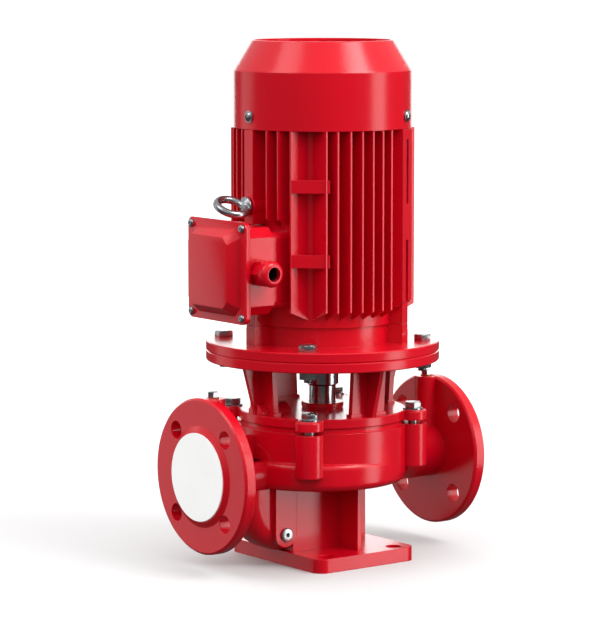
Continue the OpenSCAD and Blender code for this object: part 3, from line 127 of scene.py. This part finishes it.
def addRoom(room):
    world = bpy.data.worlds.new("studioWorld")
    world.use_nodes = True
    tree = world.node_tree
    tree.nodes.clear()
    toSky = addNode(tree, "ShaderNodeTexCoord").outputs["Generated"]
    upwards = addNode(tree, "ShaderNodeSeparateXYZ", links={"Vector": toSky}).outputs["Z"]
    dome = addNode(tree, "ShaderNodeMapRange",
                   {"interpolation_type": "SMOOTHSTEP", "From Min": room["domeEdge"][0],
                    "From Max": room["domeEdge"][1], "To Min": room["lowLight"], "To Max": room["domeLight"]},
                   {"Value": upwards})
    seen = addNode(tree, "ShaderNodeLightPath").outputs["Is Camera Ray"]
    glossy = addNode(tree, "ShaderNodeLightPath").outputs["Is Glossy Ray"]
    veil = addNode(tree, "ShaderNodeMapRange", {"To Min": 1.0, "To Max": room["domeMirrored"]}, {"Value": glossy})
    strength = addNode(tree, "ShaderNodeMath", {"operation": "MULTIPLY"},
                       {0: dome.outputs["Result"], 1: veil.outputs["Result"]}).outputs[0]
    light = addNode(tree, "ShaderNodeBackground", {"Color": fromHex("#ffffff")}, {"Strength": strength})
    paper = addNode(tree, "ShaderNodeBackground", {"Color": fromHex("#ffffff"), "Strength": room["backdrop"]})
    both = addNode(tree, "ShaderNodeMixShader", links={0: seen, 1: light.outputs[0], 2: paper.outputs[0]})
    addNode(tree, "ShaderNodeOutputWorld", links={"Surface": both.outputs[0]})
    bpy.context.scene.world = world


def addPanels(room):
    aim = Vector((0, 0, room["panelAim"]))
    for name, (side, lift, distance, width, height, radiance) in room["panels"].items():
        lamp = bpy.data.lights.new(name, "AREA")
        lamp.shape = "RECTANGLE"
        lamp.size = width
        lamp.size_y = height
        lamp.energy = radiance * math.pi * width * height    # watts that give this radiance
        holder = bpy.data.objects.new(name, lamp)
        bpy.context.scene.collection.objects.link(holder)
        holder.visible_camera = False
        away = Matrix.Rotation(math.radians(side), 3, "Z") @ Vector((viewBack.x, viewBack.y, 0)).normalized()
        place = away * (distance * math.cos(math.radians(lift)))
        place.z = room["panelAim"] + distance * math.sin(math.radians(lift))
        holder.location = place
        holder.rotation_euler = (aim - place).to_track_quat("-Z", "Y").to_euler()


# White matt paper: even and without gloss, so only the pump's soft shadow shows on it
def addFloor(room):
    bpy.ops.object.select_all(action="DESELECT")
    bpy.ops.mesh.primitive_plane_add(size=room["floorSize"], location=(0, 0, 0))
    floor = bpy.context.object
    floor.name = "studioFloor"
    finish = bpy.data.materials.new("matWhitePaper")
    finish.use_nodes = True
    tree = finish.node_tree
    shader = tree.nodes["Principled BSDF"]
    shader.inputs["Base Color"].default_value = fromHex(room["floorColour"])
    shader.inputs["Roughness"].default_value = room["floorRoughness"]
    shader.inputs["Specular IOR Level"].default_value = 0.1
    shader.inputs["Emission Color"].default_value = fromHex("#ffffff")
    spot = addNode(tree, "ShaderNodeTexCoord").outputs["Object"]
    far = addNode(tree, "ShaderNodeVectorMath", {"operation": "LENGTH"}, {0: spot}).outputs["Value"]
    glow = addNode(tree, "ShaderNodeMapRange",
                   {"interpolation_type": "SMOOTHSTEP", "From Min": room["glowFrom"][0],
                    "From Max": room["glowFrom"][1], "To Min": 0.0, "To Max": room["floorGlow"]},
                   {"Value": far})
    tree.links.new(glow.outputs["Result"], shader.inputs["Emission Strength"])
    floor.data.materials.append(finish)
    floor.visible_diffuse = False    # the paper neither lights the pump from below nor mirrors in its paint
    floor.visible_glossy = False


bpy.context.scene.view_settings.view_transform = "Standard"
addRoom(studio)
addPanels(studio)
addFloor(studio)
print("studio lit")


def newMaterial(name):
    made = bpy.data.materials.new(name)
    made.use_nodes = True
    made.node_tree.nodes.clear()
    return made, made.node_tree, addNode(made.node_tree, "ShaderNodeOutputMaterial")


# Shared by the plain finishes, in millimetres: the size of the clouds in colour and roughness, and the bump's depth
plainFinish = {"cloudSize": 40, "bumpDepth": 0.2, "shade": 0.88, "spread": 0.06}


# Colour and roughness that vary a little over the surface, with a fine bump of grainSize millimetres
def simpleMaterial(name, colour, roughness, metallic=0.0, grainSize=1.5, grain=0.1):
    made, tree, out = newMaterial(name)
    spread = plainFinish["spread"]
    place = addNode(tree, "ShaderNodeTexCoord").outputs["Object"]
    cloud = addNode(tree, "ShaderNodeTexNoise",
                    {"Scale": 1 / (plainFinish["cloudSize"] * millimetre), "Detail": 3.0}, {"Vector": place})
    fine = addNode(tree, "ShaderNodeTexNoise",
                   {"Scale": 1 / (grainSize * millimetre), "Detail": 2.0}, {"Vector": place})
    rough = addNode(tree, "ShaderNodeMapRange", {"To Min": roughness - spread, "To Max": roughness + spread},
                    {"Value": cloud.outputs["Fac"]})
    bump = addNode(tree, "ShaderNodeBump",
                   {"Strength": grain, "Distance": plainFinish["bumpDepth"] * millimetre},
                   {"Height": fine.outputs["Fac"]})
    low = [c * plainFinish["shade"] for c in fromHex(colour)[:3]] + [1.0]
    tint = addNode(tree, "ShaderNodeMix", {"data_type": "RGBA", 6: low, 7: fromHex(colour)},
                   {0: cloud.outputs["Fac"]})
    shader = addNode(tree, "ShaderNodeBsdfPrincipled", {"Metallic": metallic, "IOR": 1.5},
                     {"Base Color": tint.outputs[2], "Roughness": rough.outputs["Result"],
                      "Normal": bump.outputs["Normal"]})
    tree.links.new(shader.outputs["BSDF"], out.inputs["Surface"])
    return made


# Gloss alkyd enamel, sprayed thick over a cast or pressed surface: deep red, a wet clear surface with a faint
# orange peel, and paint drawn round over every edge
enamel = {
    "colour": "#d2001c",
    "shade": "#c20018",
    "cloudSize": 55,        # millimetres from a lighter to a darker place
    "underRoughness": 0.42,
    "clearRoughness": 0.17,
    "clearIndex": 1.4,
    "edge": 0.9,            # millimetres of paint and fillet round an edge
    "peelSize": 2.6,        # orange peel, millimetres from dimple to dimple
    "peel": 0.5,
    "grit": 0.0,            # casting sand under the paint, drawn coarser than real so that it shows
    "gritSize": 1.1,
    "bumpDepth": 0.15,
}


def enamelMaterial(name, paint):
    made, tree, out = newMaterial(name)
    place = addNode(tree, "ShaderNodeTexCoord").outputs["Object"]
    cloud = addNode(tree, "ShaderNodeTexNoise",
                    {"Scale": 1 / (paint["cloudSize"] * millimetre), "Detail": 3.0}, {"Vector": place})
    tint = addNode(tree, "ShaderNodeMix",
                   {"data_type": "RGBA", 6: fromHex(paint["shade"]), 7: fromHex(paint["colour"])},
                   {0: cloud.outputs["Fac"]})
    rounded = addNode(tree, "ShaderNodeBevel", {"samples": 6, "Radius": paint["edge"] * millimetre})
    peel = addNode(tree, "ShaderNodeTexNoise", {"Scale": 1 / (paint["peelSize"] * millimetre), "Detail": 1.0},
                   {"Vector": place})
    height = peel.outputs["Fac"]
    if paint["grit"]:
        grit = addNode(tree, "ShaderNodeTexNoise", {"Scale": 1 / (paint["gritSize"] * millimetre), "Detail": 2.0},
                       {"Vector": place})
        height = addNode(tree, "ShaderNodeMath", {"operation": "MULTIPLY_ADD", 1: paint["grit"]},
                         {0: grit.outputs["Fac"], 2: height}).outputs[0]
    bump = addNode(tree, "ShaderNodeBump",
                   {"Strength": paint["peel"], "Distance": paint["bumpDepth"] * millimetre},
                   {"Height": height, "Normal": rounded.outputs["Normal"]})
    shader = addNode(tree, "ShaderNodeBsdfPrincipled",
                     {"Roughness": paint["underRoughness"], "IOR": 1.5, "Specular IOR Level": 0.1,
                      "Coat Weight": 1.0, "Coat Roughness": paint["clearRoughness"],
                      "Coat IOR": paint["clearIndex"]},
                     {"Base Color": tint.outputs[2], "Normal": bump.outputs["Normal"],
                      "Coat Normal": bump.outputs["Normal"]})
    tree.links.new(shader.outputs["BSDF"], out.inputs["Surface"])
    return made


# Sand-cast iron: the grain speckles the highlights, and thick paint rounds the edges
redEnamel = enamelMaterial("alkydEnamelOnCastIron", dict(enamel, grit=1.2))
# Turned flange faces: flatter gloss, and edges crisp enough to keep the joint a thin dark line
redFlanges = enamelMaterial("alkydEnamelOnFacedIron", dict(enamel, grit=1.0, peel=0.45, edge=0.35))
# Pressed sheet: smoother, with longer unbroken highlights
redSheet = enamelMaterial("alkydEnamelOnPressedSteel", dict(enamel, edge=0.5, grit=0.8))
# Moulded gland: smoothest of the reds, with small tight highlights
redNylon = enamelMaterial("paintedPolyamide", dict(enamel, edge=0.4, peel=0.25))

# Bolts, screws and eye: a cool bright mirror, a little blurred by the plating
zincSteel = simpleMaterial("brightZincPlatedSteel", "#b4b7ba", 0.27, metallic=1.0, grainSize=0.8, grain=0.15)
# Shaft and bearings: a sharper, whiter mirror, with upright streaks on the shaft
groundSteel = simpleMaterial("groundStainlessSteel", "#b9bcc0", 0.16, metallic=1.0, grain=0.05)
# Port cover: matt milky white with no hard highlight, and a painted glow that lifts it towards flat white
whiteCap = simpleMaterial("lowDensityPolyethylene", "#fbfbfa", 0.5)
capPaintedGlow = 0.18      # painted glow: emission that brightens the cap beyond what the lamps give it
# Painted glow: the cap emits light of its own so that it reads whiter than its lighting makes it
for shader in [n for n in whiteCap.node_tree.nodes if n.type == "BSDF_PRINCIPLED"]:
    shader.inputs["Emission Color"].default_value = fromHex("#ffffff")
    shader.inputs["Emission Strength"].default_value = capPaintedGlow
# Seals and gaskets: soft charcoal that barely shines
blackRubber = simpleMaterial("nitrileRubber", "#191919", 0.6, grain=0.2)
# Impeller, its nut and wear ring: warm brown gold with a dull cast sheen
castBronze = simpleMaterial("castBronze", "#b08455", 0.4, metallic=1.0)
# Fan, terminal board and locknut: near-black satin, greyed by its glass fibre
blackPlastic = simpleMaterial("glassFilledPolyamide", "#1c1c1e", 0.5)
# Stator and rotor cores: dull blue-grey metal, the sheets' edges blurred into one sheen
sheetStack = simpleMaterial("laminatedElectricalSteel", "#74787c", 0.45, metallic=1.0)
# Windings and plug washers: orange brown with a soft shine
copperWire = simpleMaterial("enamelledCopper", "#a4521f", 0.35, metallic=0.6)
# End rings: pale grey metal with a dull die-cast skin
dieAluminium = simpleMaterial("dieCastAluminium", "#b4b7ba", 0.4, metallic=1.0)
# Rotating seal face: dark grey with an even, silky shine
lappedCarbon = simpleMaterial("lappedCarbon", "#26272a", 0.25)
# Standing seal face: cream white and glassy
aluminaCeramic = simpleMaterial("sinteredAlumina", "#ece7da", 0.2)
# Terminal studs and nuts: yellow metal with tight highlights
turnedBrass = simpleMaterial("turnedBrass", "#c39a4e", 0.25, metallic=1.0)

finishOf = {
    "red_paint": redEnamel, "red_sheet": redSheet, "red_plastic": redNylon,
    "bronze": castBronze, "bright_steel": groundSteel, "zinc_steel": zincSteel,
    "seal_carbon": lappedCarbon, "seal_ceramic": aluminaCeramic, "black_rubber": blackRubber,
    "laminated_steel": sheetStack, "copper": copperWire, "cast_aluminium": dieAluminium,
    "fan_plastic": blackPlastic, "board_plastic": blackPlastic, "brass_part": turnedBrass,
    "white_plastic": whiteCap,
}
slotOf = {part["node"]: part["material_slot"] for part in frame["record"]["subparts"]}
for name, node in nodes.items():
    for place in node.material_slots:
        place.material = finishOf[slotOf[name]]
for name in ("lantern", "drive_end_shield"):    # their faced joint stays a hairline
    for place in nodes[name].material_slots:
        place.material = redFlanges
print("finishes assigned")


# Modelling helpers: sizes in millimetres, one piece active at a time, faces and edges picked by place or normal
def mm(*values):
    return tuple(v * millimetre for v in values)


def useOnly(piece):
    bpy.ops.object.select_all(action="DESELECT")
    piece.select_set(True)
    bpy.context.view_layer.objects.active = piece


def addCylinder(corners, radius, depth, centre, rotation=(0, 0, 0)):
    bpy.ops.object.select_all(action="DESELECT")
    bpy.ops.mesh.primitive_cylinder_add(vertices=corners, radius=radius * millimetre, depth=depth * millimetre,
                                        location=mm(*centre), rotation=rotation)
    return bpy.context.object


def addBlock(centre, size, turn=0):
    bpy.ops.object.select_all(action="DESELECT")
    bpy.ops.mesh.primitive_cube_add(size=1, location=mm(*centre))
    block = bpy.context.object
    block.scale = mm(*size)
    block.rotation_euler.z = math.radians(turn)
    bpy.ops.object.transform_apply(location=True, rotation=True, scale=True)
    return block


def pick(piece, mode, test):
    bpy.ops.object.mode_set(mode="EDIT")
    bpy.ops.mesh.select_mode(type=mode)
    bpy.ops.mesh.select_all(action="DESELECT")
    bpy.ops.object.mode_set(mode="OBJECT")
    mesh = piece.data
    if mode == "FACE":
        for face in mesh.polygons:
            face.select = test(face.center, face.normal)
    else:
        for edge in mesh.edges:
            ends = [mesh.vertices[i].co for i in edge.vertices]
            edge.select = test((ends[0] + ends[1]) / 2, (ends[1] - ends[0]).normalized())
    bpy.ops.object.mode_set(mode="EDIT")


# Tests for pick: end faces along Z
def facesUp(centre, normal):
    return normal.z > 0.9


def facesDown(centre, normal):
    return normal.z < -0.9


# Picks, bevels and leaves edit mode
def bevelWhere(piece, mode, test, offset, segments):
    pick(piece, mode, test)
    bpy.ops.mesh.bevel(offset=offset * millimetre, segments=segments, affect="EDGES")
    bpy.ops.object.mode_set(mode="OBJECT")


def applyModifier(piece, kind, **settings):
    useOnly(piece)
    made = piece.modifiers.new(kind.title(), kind)
    for key, value in settings.items():
        setattr(made, key, value)
    bpy.ops.object.modifier_apply(modifier=made.name)


# Boolean with a tool that is thrown away afterwards
def shapeWith(piece, operation, tool):
    applyModifier(piece, "BOOLEAN", operation=operation, object=tool, solver="EXACT")
    bpy.data.objects.remove(tool)


def joined(name, parts):
    bpy.ops.object.select_all(action="DESELECT")
    for part in parts:
        part.select_set(True)
    bpy.context.view_layer.objects.active = parts[0]
    bpy.ops.object.join()
    parts[0].name = name
    return parts[0]


def copyOf(source, place):
    copied = source.copy()
    copied.data = source.data.copy()
    bpy.context.scene.collection.objects.link(copied)
    copied.matrix_world = place @ source.matrix_world
    return copied


smoothBelow = 32        # degrees between faces that are shaded as one surface


# Applies the place, smooths, gives the finish, hands the piece to its body, and hides the nodes that it stands in
# for
def finished(piece, name, finish, body, stands=()):
    useOnly(piece)
    piece.name = name
    bpy.ops.object.transform_apply(location=True, rotation=True, scale=True)
    bpy.ops.object.mode_set(mode="EDIT")
    bpy.ops.mesh.select_all(action="SELECT")
    bpy.ops.mesh.normals_make_consistent(inside=False)
    bpy.ops.object.mode_set(mode="OBJECT")
    bpy.ops.object.shade_smooth_by_angle(angle=math.radians(smoothBelow))
    piece.data.materials.clear()
    piece.data.materials.append(finish)
    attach(piece, body)
    if stands:
        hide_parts(*stands)
    return piece


# Shared by the bolts, in millimetres: chamfer as a share of the flats, depth of the ridges, and a short cylinder
# under the head that the shank is drawn out of
boltForm = {"chamfer": 0.1, "edge": 0.25, "ridge": 0.9, "startLength": 2, "startCentre": -0.6, "startEnd": 1.6,
            "pointLength": 0.8, "pointTaper": 0.8}


# Hexagon bolt, upright with the underside of its head at the origin: chamfered head, ridged shank
def hexBolt(bolt):
    corner = bolt["flats"] / math.sqrt(3)
    headCentre = (0, 0, bolt["headHeight"] / 2)
    head = addCylinder(6, corner, bolt["headHeight"], headCentre)
    turned = addCylinder(48, corner * 1.01, bolt["headHeight"], headCentre)
    bevelWhere(turned, "FACE", facesUp, bolt["flats"] * boltForm["chamfer"], 1)
    shapeWith(head, "INTERSECT", turned)
    applyModifier(head, "BEVEL", width=boltForm["edge"] * millimetre, segments=2, limit_method="ANGLE")
    shank = addCylinder(28, bolt["shank"], boltForm["startLength"], (0, 0, boltForm["startCentre"]))
    pick(shank, "FACE", facesDown)
    plain = bolt["length"] - bolt["thread"]
    if plain > boltForm["startEnd"]:
        bpy.ops.mesh.extrude_region_move(TRANSFORM_OT_translate={"value": mm(0, 0, boltForm["startEnd"] - plain)})
    root = 1 - boltForm["ridge"] / bolt["shank"]
    for turn in range(int(bolt["thread"] / bolt["pitch"])):
        for size in (root, 1 / root):
            bpy.ops.mesh.extrude_region_move(TRANSFORM_OT_translate={"value": mm(0, 0, -bolt["pitch"] / 2)})
            bpy.ops.transform.resize(value=(size, size, 1))
    bpy.ops.mesh.extrude_region_move(TRANSFORM_OT_translate={"value": mm(0, 0, -boltForm["pointLength"])})
    bpy.ops.transform.resize(value=(boltForm["pointTaper"], boltForm["pointTaper"], 1))
    bpy.ops.object.mode_set(mode="OBJECT")
    return joined("hexBolt", [head, shank])


# The pitch is drawn coarser than the real 1.5 mm, so that the ridges show
motorBolt = {"flats": 17, "headHeight": 7, "shank": 5, "length": 32, "thread": 20, "pitch": 2.0,
             "radius": 107.5, "seat": 236.5, "turn": (8, 41, 20, 3)}
casingBolt = {"flats": 16, "headHeight": 6.4, "shank": 5, "length": 42, "thread": 26, "pitch": 2.0,
              "radius": 97.6, "seat": 163.7, "turn": (22, 5, 33, 14)}
for name, bolt, stands in (("motorFlangeBolts", motorBolt, "motor_flange_bolts"),
                           ("casingCoverBolts", casingBolt, "casing_bolts")):
    first = hexBolt(bolt)
    ring = []
    for quarter in range(4):
        place = (Matrix.Rotation(math.radians(45 + 90 * quarter), 4, "Z")
                 @ Matrix.Translation(mm(bolt["radius"], 0, bolt["seat"]))
                 @ Matrix.Rotation(math.radians(bolt["turn"][quarter]), 4, "Z"))
        ring.append(copyOf(first, place))
    bpy.data.objects.remove(first)
    finished(joined(name, ring), name, zincSteel, "pump", (stands,))
print("hexagon bolts turned")


# Pan head screw with a cross recess, pointing along +Z with its seat at the origin
def panScrew(screw):
    cross = screw["cross"]
    head = addCylinder(40, screw["head"], screw["height"], (0, 0, screw["height"] / 2))
    bevelWhere(head, "FACE", facesUp, screw["height"] * screw["dome"], 6)
    for turn in (0, 90):
        blade = addBlock((0, 0, screw["height"]),
                         (screw["head"] * cross["length"], screw["head"] * cross["width"],
                          screw["height"] * cross["depth"]), turn)
        pick(blade, "FACE", facesDown)
        along, across = cross["taper"] if turn == 0 else reversed(cross["taper"])
        bpy.ops.transform.resize(value=(along, across, 1))
        bpy.ops.object.mode_set(mode="OBJECT")
        shapeWith(head, "DIFFERENCE", blade)
    shank = addCylinder(20, screw["shank"], screw["length"] + screw["overlap"],
                        (0, 0, (screw["overlap"] - screw["length"]) / 2))
    bevelWhere(shank, "FACE", facesDown, screw["shank"] * 0.3, 1)
    return joined("panScrew", [head, shank])


lidScrew = {"head": 4.3, "height": 3.1, "shank": 1.5, "length": 6.6, "seat": 138.0, "sideways": 45.5,
            "upDown": 46.5, "boxHeight": 318.5, "turn": (12, 40, 71, 25), "overlap": 0.4,
            "dome": 0.72,       # share of the head's height that is rounded
            # recess: shares of the head's radius and height, and how far its foot narrows
            "cross": {"length": 1.15, "width": 0.24, "depth": 1.1, "taper": (0.5, 0.7)}}
first = panScrew(lidScrew)
ring = []
for count, (sideY, sideZ) in enumerate(((-1, -1), (-1, 1), (1, -1), (1, 1))):
    place = (Matrix.Translation(mm(-lidScrew["seat"], sideY * lidScrew["sideways"],
                                   lidScrew["boxHeight"] + sideZ * lidScrew["upDown"]))
             @ Matrix.Rotation(math.radians(-90), 4, "Y")
             @ Matrix.Rotation(math.radians(lidScrew["turn"][count]), 4, "Z"))
    ring.append(copyOf(first, place))
bpy.data.objects.remove(first)
finished(joined("lidScrews", ring), "lidScrews", zincSteel, "pump", ("lid_screws",))
print("lid screws turned")

# Cast boss round each cover bolt, drawn as wide as the casting shows it, in two halves that leave the joint open
castBoss = {"radius": 15, "boltCircle": 97.6, "edge": 2.2, "lower": (101.1, 147.46), "upper": (151.75, 162.06)}
for half in ("lower", "upper"):
    low, high = castBoss[half]
    first = addCylinder(64, castBoss["radius"], high - low, (0, 0, (low + high) / 2))
    bevelWhere(first, "FACE", facesDown if half == "lower" else facesUp, castBoss["edge"], 5)
    ring = [copyOf(first, Matrix.Rotation(math.radians(45 + 90 * quarter), 4, "Z")
                   @ Matrix.Translation(mm(castBoss["boltCircle"], 0, 0))) for quarter in range(4)]
    bpy.data.objects.remove(first)
    name = half + "CastBosses"
    finished(joined(name, ring), name, redEnamel, "pump")
print("cast bosses added")

# Half-round boss across the cover plate, under the post beside the terminal box
coverBoss = {"radius": 12.5, "reach": (50, 89.5), "plateTop": 162.1, "sink": 1, "edge": 1.5}
inner, outer = coverBoss["reach"]
foot = coverBoss["plateTop"] - coverBoss["sink"]
boss = addCylinder(72, coverBoss["radius"], outer - inner, (-(inner + outer) / 2, 0, foot),
                   (0, math.radians(90), 0))
bpy.ops.object.transform_apply(location=True, rotation=True, scale=True)
bpy.ops.object.mode_set(mode="EDIT")
bpy.ops.mesh.select_all(action="SELECT")
bpy.ops.mesh.bisect(plane_co=mm(0, 0, foot), plane_no=(0, 0, 1), use_fill=True, clear_inner=True)
bpy.ops.object.mode_set(mode="OBJECT")
applyModifier(boss, "BEVEL", width=coverBoss["edge"] * millimetre, segments=4, limit_method="ANGLE",
              angle_limit=math.radians(60))
finished(boss, "coverHalfRoundBoss", redEnamel, "pump")
print("cover boss added")

# Lid of the terminal box: rounded plate with a raised panel, all edges softened as pressed
lid = {"plate": (104, 106.5, 4), "corner": 7.5, "back": 134.0, "boxHeight": 318.5, "panelFoot": (83.4, 90.8, 9),
       "panelTop": (70, 74), "panelHeight": 12, "panelSunk": 2, "panelProud": 0.02, "edge": 0.9}


def uprightBlock(width, height, low, high, corner, steps):
    block = addBlock((-(low + high) / 2, 0, lid["boxHeight"]), (high - low, width, height))
    bevelWhere(block, "EDGE", lambda c, d: abs(d.x) > 0.9, corner, steps)
    return block


front = lid["back"] + lid["plate"][2]
footWidth, footHeight, footCorner = lid["panelFoot"]
plate = uprightBlock(lid["plate"][0], lid["plate"][1], lid["back"], front, lid["corner"], 8)
panel = uprightBlock(footWidth, footHeight, front - lid["panelSunk"], front + lid["panelProud"], footCorner,
                     1)
pick(panel, "FACE", lambda c, n: n.x < -0.9)
bpy.ops.mesh.extrude_region_move(TRANSFORM_OT_translate={"value": mm(-lid["panelHeight"], 0, 0)})
bpy.ops.transform.resize(value=(1, lid["panelTop"][0] / footWidth, lid["panelTop"][1] / footHeight))
bpy.ops.object.mode_set(mode="OBJECT")
shapeWith(plate, "UNION", panel)
applyModifier(plate, "BEVEL", width=lid["edge"] * millimetre, segments=3, limit_method="ANGLE",
              angle_limit=math.radians(25))
finished(plate, "terminalBoxLid", redSheet, "pump", ("terminal_box_lid",))
print("terminal box lid pressed")

# The casing with the suction side as cast: the pipe ends just behind its flange in a rounded end, and the
# shoulder carries on from there
casingCut = {"reach": (86, 126), "halfWidth": 32, "heights": (115.2, 138), "wall": 92.3,
             "pipeEnd": (128, 102.7, 30.6)}
casing = copyOf(nodes["pump_casing"], Matrix.Identity(4))
useOnly(casing)
bpy.ops.mesh.customdata_custom_splitnormals_clear()
bpy.ops.object.mode_set(mode="EDIT")
bpy.ops.mesh.select_all(action="SELECT")
bpy.ops.mesh.remove_doubles(threshold=0.00001)
bpy.ops.object.mode_set(mode="OBJECT")
inner, outer = casingCut["reach"]
low, high = casingCut["heights"]
cutter = addBlock((-(inner + outer) / 2, 0, (low + high) / 2),
                  (outer - inner, 2 * casingCut["halfWidth"], high - low))
shapeWith(cutter, "DIFFERENCE", addCylinder(160, casingCut["wall"], 200, (0, 0, 120)))
endX, endZ, endRadius = casingCut["pipeEnd"]
bpy.ops.object.select_all(action="DESELECT")
bpy.ops.mesh.primitive_uv_sphere_add(segments=96, ring_count=48, radius=endRadius * millimetre,
                                     location=mm(-endX, 0, endZ))
shapeWith(cutter, "DIFFERENCE", bpy.context.object)
shapeWith(casing, "DIFFERENCE", cutter)
finished(casing, "castPumpCasing", redEnamel, "pump", ("pump_casing",))
print("casing cut")

# Flat-sided shoulder of the suction bend, level with the bowl's top, and the web above it
shoulder = {"reach": (40, 112), "width": 49, "heights": (90, 115.2), "edge": 9, "segments": 8}
web = {"reach": (88, 147), "width": 6, "heights": (104, 141.5), "edge": 2.5, "segments": 5}
for name, rib in (("suctionShoulder", shoulder), ("suctionWeb", web)):
    inner, outer = rib["reach"]
    low, high = rib["heights"]
    block = addBlock((-(inner + outer) / 2, 0, (low + high) / 2), (outer - inner, rib["width"], high - low))
    bevelWhere(block, "EDGE", lambda c, d: abs(d.x) > 0.9 and c.z > (high - 1) * millimetre, rib["edge"],
               rib["segments"])
    finished(block, name, redEnamel, "pump")
print("suction shoulder and web added")

# Forged lifting eye: ring, neck and collar drawn together and softened as one forging
eye = {"ringRadius": 15.5, "wire": 8.3, "tilt": 27, "height": 383.5, "face": 99.2, "gap": 0.2,
       "collar": 10, "collarThick": 2.6, "neck": 3.2, "neckTaper": 0.5, "stem": 5, "stemLength": 16,
       "stemInside": 7, "voxel": 0.55}
ringX = -eye["face"] - eye["wire"] / 2 - eye["gap"] - eye["ringRadius"]
bpy.ops.object.select_all(action="DESELECT")
bpy.ops.mesh.primitive_torus_add(major_radius=eye["ringRadius"] * millimetre,
                                 minor_radius=eye["wire"] / 2 * millimetre, major_segments=96, minor_segments=28,
                                 location=mm(ringX, 0, eye["height"]),
                                 rotation=(math.radians(eye["tilt"]), 0, 0))
ring = bpy.context.object
collar = addCylinder(64, eye["collar"], eye["collarThick"],
                     (-eye["face"] - eye["collarThick"] / 2, 0, eye["height"]), (0, math.radians(-90), 0))
pick(collar, "FACE", facesUp)
bpy.ops.mesh.extrude_region_move(TRANSFORM_OT_translate={"value": mm(-eye["neck"], 0, 0)})
bpy.ops.transform.resize(value=(1, eye["neckTaper"], eye["neckTaper"]))
bpy.ops.object.mode_set(mode="OBJECT")
stem = addCylinder(40, eye["stem"], eye["stemLength"], (-eye["face"] + eye["stemInside"], 0, eye["height"]),
                   (0, math.radians(90), 0))
forging = joined("liftingEye", [ring, collar, stem])
applyModifier(forging, "REMESH", mode="VOXEL", voxel_size=eye["voxel"] * millimetre)
applyModifier(forging, "SMOOTH", factor=0.5, iterations=6)
finished(forging, "forgedLiftingEye", zincSteel, "pump", ("lifting_eye",))
print("lifting eye forged")

# Drain plug: socket head with a knurled side
drain = {"place": (-70.5, -30.2, 35.2), "head": 7.3, "height": 5.6, "socket": 5, "socketDepth": 3.2, "shank": 5,
         "length": 12, "overlap": 0.5, "edge": 0.9, "point": 0.8, "knurls": 36, "knurlRoot": 0.965}
plug = addCylinder(2 * drain["knurls"], drain["head"], drain["height"], (0, 0, drain["height"] / 2))
for count, corner in enumerate(plug.data.vertices):
    if (count // 2) % 2:
        corner.co.x *= drain["knurlRoot"]
        corner.co.y *= drain["knurlRoot"]
bevelWhere(plug, "FACE", facesUp, drain["edge"], 3)
shapeWith(plug, "DIFFERENCE", addCylinder(6, drain["socket"] / math.sqrt(3), 2 * drain["socketDepth"],
                                          (0, 0, drain["height"])))
shank = addCylinder(32, drain["shank"], drain["length"] + drain["overlap"],
                    (0, 0, (drain["overlap"] - drain["length"]) / 2))
bevelWhere(shank, "FACE", facesDown, drain["point"], 1)
plug = joined("drainPlug", [plug, shank])
plug.matrix_world = Matrix.Translation(mm(*drain["place"])) @ Matrix.Rotation(math.radians(90), 4, "X")
finished(plug, "drainPlug", zincSteel, "pump", ("drain_plug",))
print("drain plug turned")
